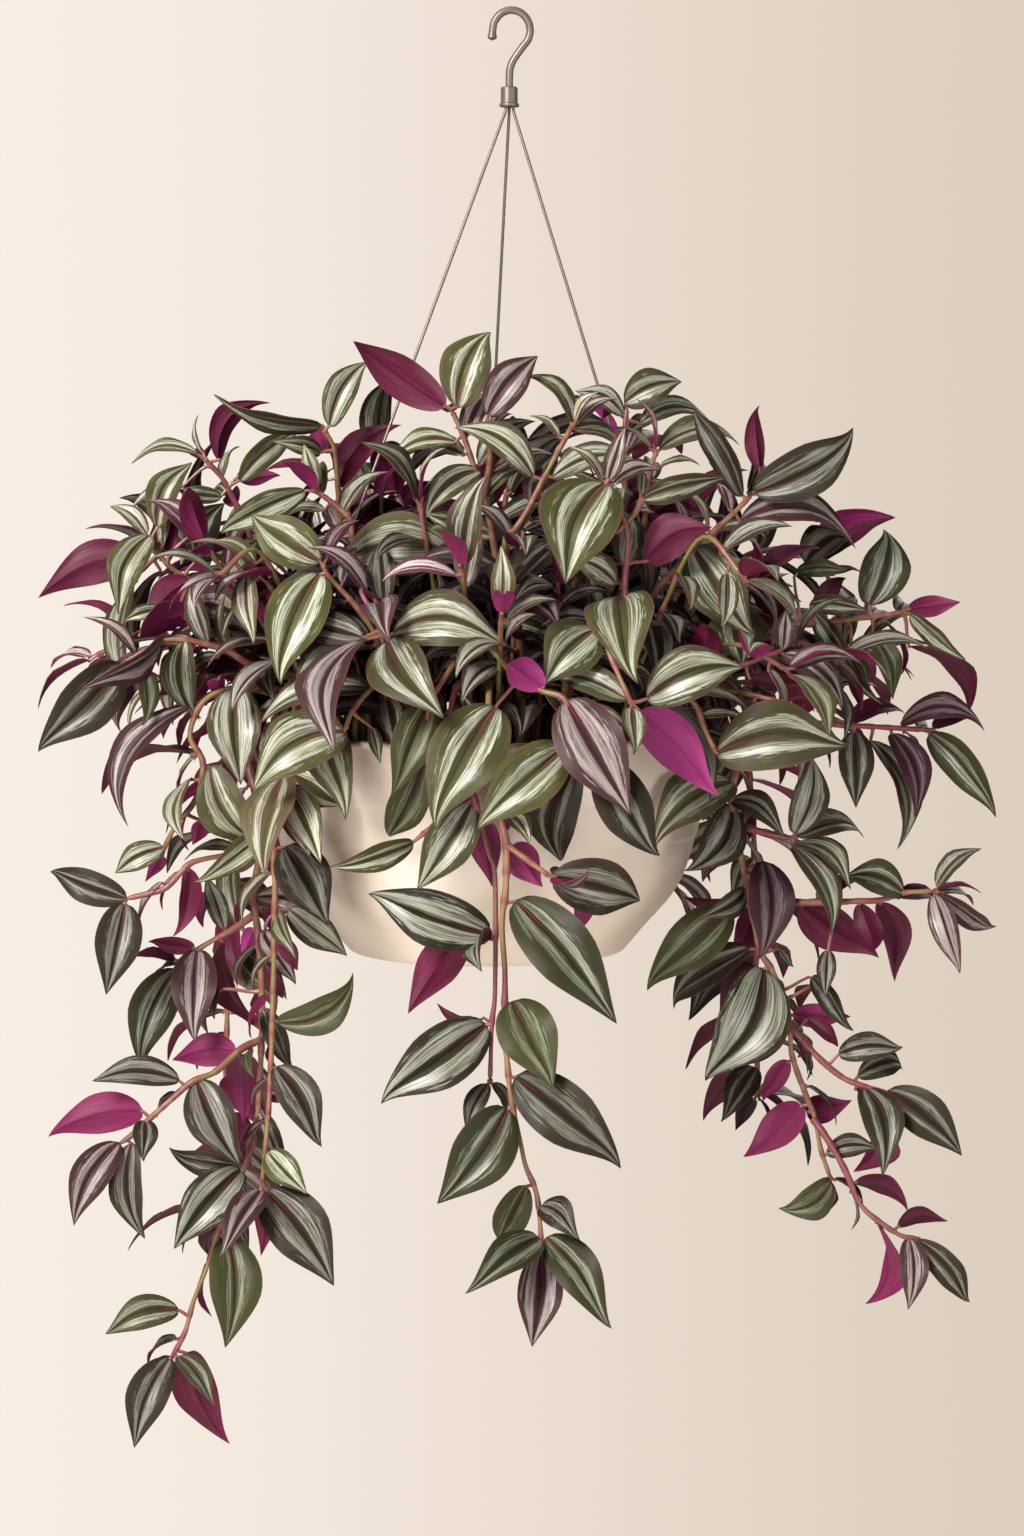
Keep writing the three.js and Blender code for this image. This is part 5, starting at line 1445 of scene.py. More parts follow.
def blades(leaves, rows, columns):
    """Many blades of one grid. The rows stand closer together at the base and the tip, where the outline
    curves most."""
    seeds = np.array([draw(0, 1) for _ in leaves])
    for leaf in leaves:
        leaf["over"] = turned_over(leaf)
    over = np.array([leaf["over"] for leaf in leaves])
    tints = np.array([tint_of(leaf) for leaf in leaves])
    even = np.arange(1, rows + 1) / (rows + 1)
    s = ((1 - np.cos(np.pi * np.arange(1, rows + 1) / (rows + 1))) / 2 + even) / 2
    u = np.linspace(-1, 1, columns + 1)
    middle, normal = blade_surface(leaves, seeds, s, u)
    half = normal * BLADE_THICK / 2
    count, size = len(leaves), rows * (columns + 1)
    upper = (middle + half).reshape(count, size, 3)
    lower = (middle - half).reshape(count, size, 3)
    ends = [np.array([leaf[end] for leaf in leaves])[:, None] for end in ("base", "tip")]
    points = np.concatenate([upper, lower, *ends], axis=1)
    along_blade, across_blade = np.meshgrid(s, (u + 1) / 2, indexing="ij")
    places = np.stack([across_blade, along_blade], axis=-1).reshape(-1, 2)
    one_map = np.vstack([places, places, [(0.5, 0), (0.5, 1)]])
    step = 2 * size + 2
    faces, slots = [], []
    for group, slot in zip(blade_faces(rows, columns), (UPPER, LOWER, UPPER, LOWER)):
        faces.append(repeated(group, count, step))
        slots.append(np.repeat(np.where(over, LOWER + UPPER - slot, slot), len(group)))
    return dict(
        points=points.reshape(-1, 3), faces=faces, slots=slots, uv=np.tile(one_map, (count, 1)),
        values=np.repeat(np.column_stack([tints, seeds]), step, axis=0),
    )

# %% [markdown]
# ## Round bars
#
# Stems, stalks, wires and the hook are all bars: a circle carried along a path. A frame that is worked out
# afresh at each step may jump, and the bar would wring itself shut. So all its frames come from one
# direction that the whole path crosses. Turned pieces and the soil's clods have the same faces: rings of
# quads with a fan at each end.

# %% A circle carried along a path
def ring_faces(rings, sides):
    """Quads from each ring of points to the next, and a fan from each end point to the ring beside it."""
    grid = np.arange(rings * sides).reshape(rings, sides)
    beside = np.roll(grid, -1, axis=1)
    quads = faces_of(grid[:-1], beside[:-1], beside[1:], grid[1:])
    low = faces_of(grid.size, beside[0], grid[0])
    high = faces_of(grid.size + 1, grid[-1], beside[-1])
    return [quads, np.vstack([low, high])]


def carried(path, radii, sides, slot, values):
    """A round bar. The frame's direction is the least of the tangents' singular vectors, less its part
    along each tangent. Both ends close in a point, half a radius farther on."""
    tangents = np.gradient(path, axis=0)
    tangents /= np.linalg.norm(tangents, axis=1)[:, None]
    aside = np.linalg.svd(tangents)[2][-1]
    first = aside - tangents * (tangents @ aside)[:, None]
    first /= np.linalg.norm(first, axis=1)[:, None]
    second = np.cross(tangents, first)
    angle = 2 * np.pi * np.arange(sides)[:, None] / sides
    ring = first[:, None] * np.cos(angle) + second[:, None] * np.sin(angle)
    points = (path[:, None] + ring * radii[:, None, None]).reshape(-1, 3)
    tips = [path[0] - tangents[0] * radii[0] / 2, path[-1] + tangents[-1] * radii[-1] / 2]
    far = np.concatenate([[0], np.cumsum(np.linalg.norm(np.diff(path, axis=0), axis=1))])
    uv = np.column_stack([np.tile(np.arange(sides) / sides, len(path)), np.repeat(far, sides)])
    faces = ring_faces(len(path), sides)
    values = np.repeat(values, sides, axis=0)
    return dict(
        points=np.vstack([points, tips]), faces=faces, slots=[np.full(len(f), slot) for f in faces],
        uv=np.vstack([uv, [(0, 0), (0, far[-1])]]), values=np.vstack([values, values[:1], values[-1:]]),
    )

# %% [markdown]
# ## Stems
#
# A stem is fleshy and jointed. It tapers towards the tip, and it is thicker at each leaf, where a sheath
# wraps it: the bump rises sharply above the leaf and falls slowly below. The stalk of a leaf is a short bar
# from inside the stem to the base of its blade.

# %% Stems and stalks
STEM_FOOT = 2.2
STEM_TIP = 1.05
BRANCH_FOOT = 1.6
STEM_SIDES = 10
STEM_ROUND = 6.0
STEM_SPACING = 2.5
SHOOT_SPACING = 4.5  # the many young shoots have fewer faces
SWELL = 0.42
SWELL_ABOVE = 2.2
SWELL_BELOW = 7.0
TAPER_POWER = 0.8
END_THIN = 0.85
STALK_SIDES = 6
STALK_RADII = (1.75, 1.3, 1.05, 0.95, 0.9, 0.85)
STALK_BEND = 0.8
STALK_INSIDE = 1.5
STALK_TURN_BACK = -0.2
STALK_VALUES = (0.9, 0.8, 0, 0.5)


def stem_bar(part, foot, roots, spacing):
    """A stem: the smooth line through its points. Its radius tapers by a power of the way, closes in a
    quarter of an ellipse at the end, and swells at each root by exp(-x^2) of the scaled distance."""
    count = max(6, round(part["length"] / spacing))
    path, length = even_places(part["points"], count)
    far = np.linspace(0, length, count + 1)
    swell = np.zeros(count + 1)
    for root in roots:
        at = far[np.argmin(np.linalg.norm(path - root, axis=1))]
        reach = np.where(far > at, SWELL_ABOVE, SWELL_BELOW)
        swell = np.maximum(swell, np.exp(-(((far - at) / reach) ** 2)))
    taper = foot + (STEM_TIP - foot) * (far / length) ** TAPER_POWER
    taper *= np.sqrt(1 - END_THIN * np.clip(1 - (length - far) / STEM_ROUND, 0, 1) ** 2)
    values = np.column_stack([swell, far / length, np.zeros(count + 1), np.full(count + 1, draw(0, 1))])
    return path, carried(path, taper * (1 + SWELL * swell), STEM_SIDES, STALK, values)


def stalk_bar(leaf, path):
    """A leaf's stalk: it leaves the stem along the stem and comes to the blade along the blade, on a cubic
    whose two slopes are as long as a share of the gap."""
    nearest = min(np.argmin(np.linalg.norm(path - leaf["root"], axis=1)), len(path) - 2)
    root, onward = path[nearest], unit(path[nearest + 1] - path[nearest])
    axis = unit(leaf["tip"] - leaf["base"])
    end = leaf["base"] + axis * STALK_INSIDE
    gap = np.linalg.norm(end - root)
    if np.dot(onward, axis) < STALK_TURN_BACK:
        onward = -onward
    t = np.linspace(0, 1, len(STALK_RADII))[:, None]
    places = cubic(root, end, onward * gap * STALK_BEND, axis * gap * STALK_BEND, t)
    return carried(places, np.array(STALK_RADII), STALK_SIDES, STALK, np.tile(STALK_VALUES, (len(t), 1)))


print("a stem is", 2 * STEM_FOOT, "mm thick at its foot and", 2 * STEM_TIP, "mm at its tip")

# %% [markdown]
# ## From arrays to a mesh
#
# Blender takes whole arrays through foreach_set. Each piece is smooth, apart from sharp edges such as a
# blade's rim.

# %% A piece from its parts
SHARP_EDGE = math.radians(50)
VALUE_NAMES = ("flush", "silver", "light", "seed")


def piece_from(name, parts, materials):
    """One object from several parts: their points are stacked, and their faces moved on by the points before
    them."""
    offsets = np.cumsum([0] + [len(part["points"]) for part in parts])
    faces = [f + offset for part, offset in zip(parts, offsets) for f in part["faces"]]
    sizes = np.concatenate([np.full(len(f), f.shape[1]) for f in faces])
    corners = np.concatenate([f.ravel() for f in faces])
    mesh = bpy.data.meshes.new(name)
    points = np.vstack([part["points"] for part in parts]) * MM
    mesh.vertices.add(len(points))
    mesh.vertices.foreach_set("co", points.astype(np.float32).ravel())
    mesh.loops.add(len(corners))
    mesh.loops.foreach_set("vertex_index", corners.astype(np.int32))
    mesh.polygons.add(len(sizes))
    mesh.polygons.foreach_set("loop_start", (np.cumsum(sizes) - sizes).astype(np.int32))
    slots = np.concatenate([slot for part in parts for slot in part["slots"]])
    mesh.polygons.foreach_set("material_index", slots.astype(np.int32))
    mesh.update(calc_edges=True)
    uv = np.vstack([part["uv"] for part in parts])[corners]
    mesh.uv_layers.new(name="blade").data.foreach_set("uv", uv.astype(np.float32).ravel())
    values = np.vstack([part["values"] for part in parts])
    for column, value_name in enumerate(VALUE_NAMES):
        layer = mesh.attributes.new(value_name, "FLOAT", "POINT")
        layer.data.foreach_set("value", values[:, column].astype(np.float32))
    mesh.shade_smooth()
    mesh.set_sharp_from_angle(angle=SHARP_EDGE)
    for material in materials:
        mesh.materials.append(material)
    piece = bpy.data.objects.new(name, mesh)
    bpy.context.scene.collection.objects.link(piece)
    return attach(piece, "root")


print("every vertex carries:", *VALUE_NAMES)

# %% [markdown]
# ## Short ways to draw nodes
#
# Written out in full, each node of a material takes several lines, so a small class gives the few kinds that
# we need short names.

# %% Helpers for nodes
def colour(*rgb):
    """A screen colour from 0 to 255 as the linear values that nodes use."""
    c = np.array(rgb) / 255
    return (*np.where(c <= 0.04045, c / 12.92, ((c + 0.055) / 1.055) ** 2.4), 1.0)


class Sketch:
    """Short ways to add nodes to a tree. A value may be a number, a colour or another node's socket."""

    def __init__(self, tree, shader=None):
        self.tree = tree
        self.shader = shader

    def put(self, sockets, values):
        for socket, value in zip(sockets, values):
            if isinstance(value, bpy.types.NodeSocket):
                self.tree.links.new(value, socket)
            else:
                socket.default_value = value

    def node(self, kind, *values, **settings):
        made = self.tree.nodes.new(kind)
        for key, value in settings.items():
            setattr(made, key, value)
        self.put(made.inputs, values)
        return made

    def math(self, operation, *values):
        return self.node("ShaderNodeMath", *values, operation=operation).outputs[0]

    def times(self, first, second):
        return self.math("MULTIPLY", first, second)

    def plus(self, first, second):
        return self.math("ADD", first, second)

    def scaled(self, value, factor, offset):
        return self.math("MULTIPLY_ADD", value, factor, offset)

    def step(self, value, low, high, to_low=0.0, to_high=1.0):
        given = (value, low, high, to_low, to_high)
        return self.node("ShaderNodeMapRange", *given, interpolation_type="SMOOTHSTEP").outputs[0]

    def mix(self, share, first, second):
        made = self.node("ShaderNodeMix", share, data_type="RGBA")
        self.put(made.inputs[6:8], (first, second))
        return made.outputs[2]

    def noise(self, place, scale, detail=2.0, rough=0.5):
        made = self.node("ShaderNodeTexNoise")
        sockets = [made.inputs[key] for key in ("Vector", "Scale", "Detail", "Roughness")]
        self.put(sockets, (place, scale, detail, rough))
        return made.outputs["Fac"]

    def group(self, tree, *values):
        return self.node("ShaderNodeGroup", node_tree=tree, *values).outputs[0]

    def attribute(self, name):
        return self.node("ShaderNodeAttribute", attribute_name=name).outputs["Fac"]

    def object_place(self):
        return self.node("ShaderNodeTexCoord").outputs["Object"]

    def lightened(self, face, value):
        made = self.node("ShaderNodeHueSaturation")
        self.put([made.inputs["Value"], made.inputs["Color"]], (value, face))
        return made.outputs[0]

    def paint(self, **values):
        """Sets the shader's own sockets, such as Base_Color."""
        self.put([self.shader.inputs[key.replace("_", " ")] for key in values], values.values())

    def bump(self, height, strength, distance):
        made = self.node("ShaderNodeBump")
        sockets = [made.inputs[key] for key in ("Height", "Strength", "Distance")]
        self.put(sockets, (height, strength, distance))
        self.paint(Normal=made.outputs[0])


def new_material(name, **constants):
    """A material and its sketch. The constants stand on the sockets of its Principled BSDF."""
    material = bpy.data.materials.new(name)
    material.use_nodes = True
    n = Sketch(material.node_tree, material.node_tree.nodes["Principled BSDF"])
    n.paint(**constants)
    return material, n


print("mid grey is", round(float(colour(128)[0]), 3), "as a linear value")

# %% [markdown]
# ## Node groups
#
# Materials share node groups. Ours give masks only, and each material keeps its own Principled BSDF.
# `streaks` makes thin lines along the veins: noise that is stretched from base to tip, because the blade's
# own map follows the veins. `between` is one smooth step up and one smooth step down, which is what a band
# across the blade is.

# %% Groups for blades
STREAK_SEEDS = 40.0
STREAK_DETAIL = 3.0
STREAK_ROUGH = 0.6


def new_group(name, output, **inputs):
    """An empty shader group with one output and named number inputs, each with its default value."""
    group = bpy.data.node_groups.new(name, "ShaderNodeTree")
    for socket, value in inputs.items():
        made = group.interface.new_socket(socket, in_out="INPUT", socket_type="NodeSocketFloat")
        made.default_value = value
    group.interface.new_socket(output, in_out="OUTPUT", socket_type="NodeSocketFloat")
    n = Sketch(group)
    return group, n, n.node("NodeGroupInput").outputs, n.node("NodeGroupOutput").inputs


streaks, n, given, result = new_group("streaks", "Value", Across=0, Along=0, Seed=0, Count=12, Stretch=1)
across, along_blade, seed, count, stretch = given[:5]
scaled = n.times(across, count), n.times(along_blade, stretch), n.times(seed, STREAK_SEEDS)
place = n.node("ShaderNodeCombineXYZ", *scaled).outputs[0]
n.put(result, [n.noise(place, 1.0, STREAK_DETAIL, STREAK_ROUGH)])

between, n, given, result = new_group("between", "Mask", Value=0, Low=0, High=1, Soft=0.05)
value, low, high, soft = given[:4]
rising = n.step(value, n.math("SUBTRACT", low, soft), n.plus(low, soft))
falling = n.step(value, n.math("SUBTRACT", high, soft), n.plus(high, soft), 1.0, 0.0)
n.put(result, [n.times(rising, falling)])
print("groups:", *[group.name for group in bpy.data.node_groups])

# %% [markdown]
# ## The upper face of a leaf
#
# The distance from the midrib decides the colour: a dark stripe in the middle, a broad silver band on each
# side with a dark vein in it, and a dark margin with a thin red edge. The bands' borders are ragged, since
# streaks are added to the distance first. Each leaf's seed moves its bands, its `silver` widens them and
# makes them stronger, and its `flush` turns green into purple. Its `light` is painted light and shade: it
# mixes the dark green towards a painted sunlit green, in patches, and brightens or darkens the whole blade.

# %% Colours of the foliage
GREEN_DEEP = colour(39, 41, 24)
# a painted sunlit copy of the green, mixed in by a leaf's `light`
GREEN_PAINTED_SUNLIT = colour(80, 86, 44)
GREEN_STREAK = colour(56, 48, 35)
BASE_BROWN = colour(74, 34, 36)
PURPLE_DEEP = colour(74, 26, 52)
SILVER_COOL = colour(191, 196, 176)
SILVER_MAUVE = colour(196, 168, 180)
VEIN_GREY = colour(88, 90, 68)
MIDRIB_PINK = colour(168, 92, 96)
EDGE_RED = colour(114, 56, 62)
UNDER_PURPLE = colour(120, 28, 68)
UNDER_DEEP = colour(80, 16, 42)
UNDER_LIGHT = colour(160, 72, 116)
# painted glow of light through the leaf
UNDER_PAINTED_GLOW = colour(132, 44, 112)
STEM_TAN = colour(136, 106, 74)
STEM_PINK = colour(128, 60, 70)
STEM_OLIVE = colour(108, 100, 52)
STEM_PURPLE = colour(104, 36, 60)
STEM_NODE = colour(92, 46, 44)

# %% Upper face
FEATHER = (36.0, 4.5)
BROAD = (9.0, 2.4)
FINE = (46.0, 1.6)
FEATHER_RAGGED = 0.44
BROAD_RAGGED = 0.34
INNER_RAGGED = 0.35
CENTRE_SOFT = 0.1
BAND_END = (0.56, 0.64)
DARK_VEIN = (0.37, 0.43, 0.03)
OUTER_VEIN = (0.73, 0.79, 0.025)
COVERED = (0.03, 0.965, 0.03)
GROOVE_DEPTH = 0.0006


def blade_place(n):
    """The blade's own map: the distance from the midrib from 0 to 1, the way along, the leaf's seed, and a
    function that gives streaks by their count across and their changes along."""
    split = n.node("ShaderNodeSeparateXYZ", n.node("ShaderNodeUVMap", uv_map="blade").outputs[0])
    across, along_blade = split.outputs[:2]
    seed = n.attribute("seed")

    def streak(count, stretch):
        return n.group(streaks, across, along_blade, seed, count, stretch)

    return n.math("ABSOLUTE", n.scaled(across, 2.0, -1.0)), along_blade, seed, streak


upper_face, n = new_material("leaf_upper", Coat_Weight=0.03, Coat_Roughness=0.3)
away, along_blade, seed, streak = blade_place(n)
flush, silver, light = (n.attribute(name) for name in ("flush", "silver", "light"))
feather, broad, fine = (streak(*kind) for kind in (FEATHER, BROAD, FINE))

broader = n.scaled(n.math("FRACT", n.times(seed, 7.3)), 0.24, -0.12)
broader = n.plus(broader, n.scaled(silver, 0.3, -0.22))
wander = n.plus(
    n.scaled(feather, FEATHER_RAGGED, -FEATHER_RAGGED / 2), n.scaled(broad, BROAD_RAGGED, -BROAD_RAGGED / 2)
)
outer = n.plus(n.math("SUBTRACT", away, broader), wander)
inner = n.plus(away, n.times(wander, INNER_RAGGED))
centre = n.scaled(n.math("FRACT", n.times(seed, 3.7)), 0.14, 0.06)
band = n.times(n.step(inner, centre, n.plus(centre, CENTRE_SOFT)), n.step(outer, *BAND_END, 1.0, 0.0))
dark_vein = n.times(n.group(between, outer, *DARK_VEIN), n.step(along_blade, 0.75, 0.45))
outer_vein = n.times(n.group(between, outer, *OUTER_VEIN), n.step(broad, 0.5, 0.58, 0.0, 0.7))
cover = n.times(band, n.scaled(dark_vein, -0.7, 1.0))
cover = n.times(n.math("MAXIMUM", cover, outer_vein), n.group(between, along_blade, *COVERED))
cover = n.times(cover, n.scaled(silver, 0.85, 0.2))

# painted light: the leaf's `light`, in patches along the broad streaks, mixes dark green towards sunlit
# green
sun = n.times(n.step(light, 0.15, 0.8), n.step(broad, 0.3, 0.7, 0.6, 1.0))
plain = n.mix(sun, GREEN_DEEP, GREEN_PAINTED_SUNLIT)
plain = n.mix(n.step(feather, 0.47, 0.62, 0.0, 0.6), plain, GREEN_STREAK)
at_base = n.times(n.step(away, 0.32, 0.05), n.step(along_blade, 0.6, 0.05))
plain = n.mix(n.times(at_base, 0.55), plain, BASE_BROWN)
plain = n.mix(n.times(flush, 0.8), plain, PURPLE_DEEP)
shine = n.mix(n.step(fine, 0.42, 0.57), VEIN_GREY, SILVER_COOL)
shine = n.mix(n.times(flush, 0.6), shine, SILVER_MAUVE)
face = n.mix(cover, plain, shine)
rib = n.times(n.step(away, 0.035, 0.01), n.step(along_blade, 0.3, 0.04))
face = n.mix(n.times(rib, 0.6), face, MIDRIB_PINK)
face = n.mix(n.times(n.step(away, 0.94, 0.99), 0.6), face, EDGE_RED)

# painted light and shade: the blade's colour is brightened or darkened by its `light`
n.paint(Base_Color=n.lightened(face, n.scaled(light, 1.3, 0.14)))
n.paint(Roughness=n.step(cover, 0.0, 1.0, 0.5, 0.36))
n.paint(Specular_IOR_Level=n.step(cover, 0.0, 1.0, 0.16, 0.6))
n.bump(n.plus(n.times(fine, 0.5), n.step(away, 0.0, 0.07)), 0.4, GROOVE_DEPTH)
print("nodes in the upper face:", len(upper_face.node_tree.nodes))

# %% [markdown]
# ## The underside and the stems
#
# The lower face is purple with faint veins and a darker midrib. Its `light` paints light on it: a painted
# violet glow, as if light came through, and a lightness that brightens or darkens it. The stems are patchy,
# from olive over tan to pink, with dark specks, and purple at each joint. Both have a satin gloss and a fine
# bump, and streaks or specks that change it.

# %% Underside and stem skin
UNDER_FINE = (60.0, 3.0)
UNDER_BROAD = (9.0, 1.5)
PATCH_SCALE = 24.0
SPECK_SCALE = 420.0

lower_face, n = new_material("leaf_underside", Specular_IOR_Level=0.2)
away, along_blade, seed, streak = blade_place(n)
light, fine, broad = n.attribute("light"), streak(*UNDER_FINE), streak(*UNDER_BROAD)
veins = n.mix(n.step(fine, 0.3, 0.6), UNDER_DEEP, UNDER_PURPLE)
veins = n.mix(n.times(n.step(broad, 0.45, 0.62), 0.2), veins, UNDER_LIGHT)
veins = n.mix(n.times(n.step(away, 0.07, 0.0), 0.6), veins, UNDER_DEEP)
# painted light: by the leaf's `light`, a violet glow as if light came through, and a brighter or darker face
veins = n.mix(n.step(light, 0.4, 0.9, 0.0, 0.65), veins, UNDER_PAINTED_GLOW)
n.paint(Base_Color=n.lightened(veins, n.scaled(light, 1.7, -0.12)))
n.paint(Roughness=n.step(fine, 0.2, 0.8, 0.54, 0.46))
n.bump(n.plus(n.times(fine, 0.5), n.step(away, 0.08, 0.0)), 0.35, GROOVE_DEPTH)

stem_skin, n = new_material("stem_skin", Specular_IOR_Level=0.45)
patch = n.noise(n.object_place(), PATCH_SCALE, 3.0)
speck = n.noise(n.object_place(), SPECK_SCALE, 2.0, 0.7)
seed, joint = n.attribute("seed"), n.attribute("flush")
toned = n.plus(patch, n.scaled(seed, 0.3, -0.15))
skin = n.mix(n.step(toned, 0.36, 0.52), STEM_OLIVE, STEM_TAN)
skin = n.mix(n.step(toned, 0.53, 0.67, 0.0, 0.75), skin, STEM_PINK)
skin = n.mix(n.step(seed, 0.6, 0.8, 0.0, 0.8), skin, STEM_PURPLE)
skin = n.mix(n.times(joint, 0.6), skin, STEM_PINK)
skin = n.mix(n.times(n.step(joint, 0.7, 1.0), 0.45), skin, STEM_NODE)
skin = n.mix(n.step(speck, 0.55, 0.75, 0.0, 0.4), skin, PURPLE_DEEP)
n.paint(Base_Color=skin, Roughness=n.step(speck, 0.3, 0.7, 0.36, 0.5))
n.bump(speck, 0.2, 0.0004)
FOLIAGE = [upper_face, lower_face, stem_skin]
print("foliage materials:", *[material.name for material in FOLIAGE])

# %% [markdown]
# ## Dress every stem
#
# Each coarse stem is replaced by a fine piece with the same stems and leaves. The coarse solid stays in the
# physics model, where it is what things bump into.

# %% Leafy stems
LARGE_LEAF = 44.0


def is_large(leaf):
    """Whether a leaf was measured, or is so long that it needs many faces."""
    return leaf["key"] is not None or np.linalg.norm(leaf["tip"] - leaf["base"]) > LARGE_LEAF


def triangles_of(piece):
    """How many triangles a piece has."""
    return sum(len(face.vertices) - 2 for face in piece.data.polygons)


triangles = 0
kinds = [(stem, STEM_FOOT, STEM_SPACING) for stem in stems]
kinds += [(shoot, BRANCH_FOOT, SHOOT_SPACING) for shoot in shoots]
for stem, foot, spacing in kinds:
    roots = [leaf["root"] for leaf in stem["leaves"]]
    feet = [foot] + [BRANCH_FOOT] * len(stem["lines"])
    bars = [stem_bar(part, own, roots, spacing) for part, own in zip(stem["lines"], feet)]
    path = np.vstack([places for places, _ in bars])
    stem["parts"] = [bar for _, bar in bars] + [stalk_bar(leaf, path) for leaf in stem["leaves"]]
    large = [leaf for leaf in stem["leaves"] if is_large(leaf)]
    small = [leaf for leaf in stem["leaves"] if not is_large(leaf)]
    for grid, some in ((BLADE_GRID, large), (SMALL_GRID, small)):
        if some:
            stem["parts"].append(blades(some, *grid))
for stem in stems:
    piece = piece_from(f"leafy_{stem['name']}", stem["parts"], FOLIAGE)
    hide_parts(stem["name"])
    triangles += triangles_of(piece)
undergrowth = piece_from("young_shoots", [part for shoot in shoots for part in shoot["parts"]], FOLIAGE)
print(len(stems), "leafy stems,", triangles, "triangles, and", triangles_of(undergrowth), "in young shoots")
# %% [markdown]
# ## Turned pieces
#
# The pot, the soil and the collar are profiles turned about an upright axis, like clay on a wheel. A profile
# starts on the axis at the bottom, runs round the outside and ends on the axis again, which closes the
# piece.

# %% A profile turned about an axis
CORNER_STEPS = 4


def plain_part(points, faces, uv=None):
    """A part with one material and no tints."""
    uv = np.zeros((len(points), 2)) if uv is None else uv
    return dict(
        points=points, faces=faces, slots=[np.zeros(len(f)) for f in faces], uv=uv,
        values=np.zeros((len(points), len(VALUE_NAMES))),
    )


def turned(profile, sides, axis_x, axis_y=0):
    """A closed round body: every point of the profile (radius, height) becomes a ring, and the first and the
    last, which lie on the axis, stay single points."""
    profile = np.array(profile, float)
    angle = 2 * np.pi * np.arange(sides) / sides
    rings = profile[1:-1]
    x = axis_x + rings[:, :1] * np.cos(angle)
    y = axis_y + rings[:, :1] * np.sin(angle)
    z = rings[:, 1:] + 0 * angle
    points = np.stack([x, y, z], axis=-1).reshape(-1, 3)
    poles = [(axis_x, axis_y, profile[0, 1]), (axis_x, axis_y, profile[-1, 1])]
    far = np.cumsum(np.linalg.norm(np.diff(profile, axis=0, prepend=profile[:1]), axis=1))
    uv = np.column_stack([np.tile(angle / (2 * np.pi), len(rings)), np.repeat(far[1:-1], sides)])
    uv = np.vstack([uv, [(0, 0), (0, far[-1])]])
    return plain_part(np.vstack([points, poles]), ring_faces(len(rings), sides), uv)


def rounded(corner, before, after, radius, steps=CORNER_STEPS):
    """A corner of a profile as a short arc: points between the two neighbours, weighted quadratically."""
    start = corner + unit(before - corner) * radius
    end = corner + unit(after - corner) * radius
    t = np.linspace(0, 1, steps + 1)[:, None]
    return (1 - t) ** 2 * start + 2 * t * (1 - t) * corner + t**2 * end


# %% [markdown]
# ## The pot
#
# The pot is one moulded shell of satin ivory plastic with a flat flange. Light shows its form only by soft
# reflections, so the shape has to be right: we draw the wall as a smooth curve, add the faint rings that
# the mould leaves round it, and turn it with many sides. Each edge below is a short list of steps out and
# up from a corner, so that no edge is razor sharp.

# %% Profile of the pot
POT_WALL = 2.6
POT_FLOOR = 3.0
POT_ROWS = 60
POT_RINGS = (88, 65, 27, 20)
RING_OUT = 0.45
RING_SOFT = 0.45
RING_ROWS = np.linspace(-2.4, 2.4, 9)
WALL_PROUD = 1.2
FIRST_ROW = 1.2
UNDER_FLANGE = POT_HEIGHT - FLANGE_THICK
BASE_EDGE = [(-1.6, 0), (-0.5, 0.4)]
SHOULDER_EDGE = [(0.1, -0.2), (0.8, 0)]
LIP_EDGE = [(-0.8, 0), (-0.2, 0.5), (0, 1.5), (-0.2, 2.5), (-0.8, FLANGE_THICK)]
MOUTH_EDGE = [(1, 0), (0.2, -0.3)]


def wall_radius(height):
    """The wall's radius: a smooth line through the measured radii. Each ring of the mould adds a fine step,
    a hyperbolic tangent of the height."""
    knots = POT_OUTSIDE[:, 1] / POT_HEIGHT
    curve = smooth_line(POT_OUTSIDE, np.linspace(0, 1, 241))
    radius = np.interp(height, curve[:, 1], curve[:, 0])
    radius = np.minimum(radius, np.interp(height / POT_HEIGHT, knots, POT_OUTSIDE[:, 0]) + WALL_PROUD)
    for ring in POT_RINGS:
        radius = radius + RING_OUT * (np.tanh((height - ring) / RING_SOFT) - 1) / 2
    return radius


def inner_radius(height):
    """The radius of the wall's inner face."""
    return wall_radius(height) - POT_WALL


def edge(steps, radius, height):
    """Steps of an edge as places of the profile."""
    return [(radius + out, height + up) for out, up in steps]


rows = np.linspace(FIRST_ROW, UNDER_FLANGE - 0.5, POT_ROWS)
rows = np.sort(np.concatenate([rows, *(ring + RING_ROWS for ring in POT_RINGS)]))
inner_rows = np.linspace(POT_HEIGHT - 1, POT_FLOOR + 1, 24)
profile = [
    (0, 0), *edge(BASE_EDGE, wall_radius(0), 0), *zip(wall_radius(rows), rows),
    *edge(SHOULDER_EDGE, wall_radius(UNDER_FLANGE), UNDER_FLANGE),
    *edge(LIP_EDGE, FLANGE_RADIUS, UNDER_FLANGE), *edge(MOUTH_EDGE, inner_radius(POT_HEIGHT), POT_HEIGHT),
    *zip(inner_radius(inner_rows), inner_rows), (inner_radius(POT_FLOOR) - 1, POT_FLOOR), (0, POT_FLOOR),
]
profile = [(radius, POT_BASE_Z + height) for radius, height in profile]
print("the pot's profile has", len(profile), "places")

# %% [markdown]
# ## The pot's plastic and its holes
#
# The plastic is nearly plain: two shades of ivory in large soft clouds, a satin gloss and a very fine grain.
# The holes are cut with a Boolean modifier, which is simpler than weaving them into the grid.

# %% Pot
POT_SIDES = 192
DRAIN_RADIUS, DRAIN_RING, DRAIN_COUNT = 4.0, 45.0, 5
HOLE_ROOM = 0.5
CUT_PAST = 2
IVORY = colour(221, 210, 198)
IVORY_WARM = colour(213, 200, 186)


def hole(degrees, ring, low, high, radius, sides):
    """An upright bar that cuts a hole, and passes both faces of the wall."""
    x, y, _ = round_pot(degrees, ring, 0)
    low, high = low - CUT_PAST, high + CUT_PAST
    return turned([(0, low), (radius, low), (radius, high), (0, high)], sides, x, y)


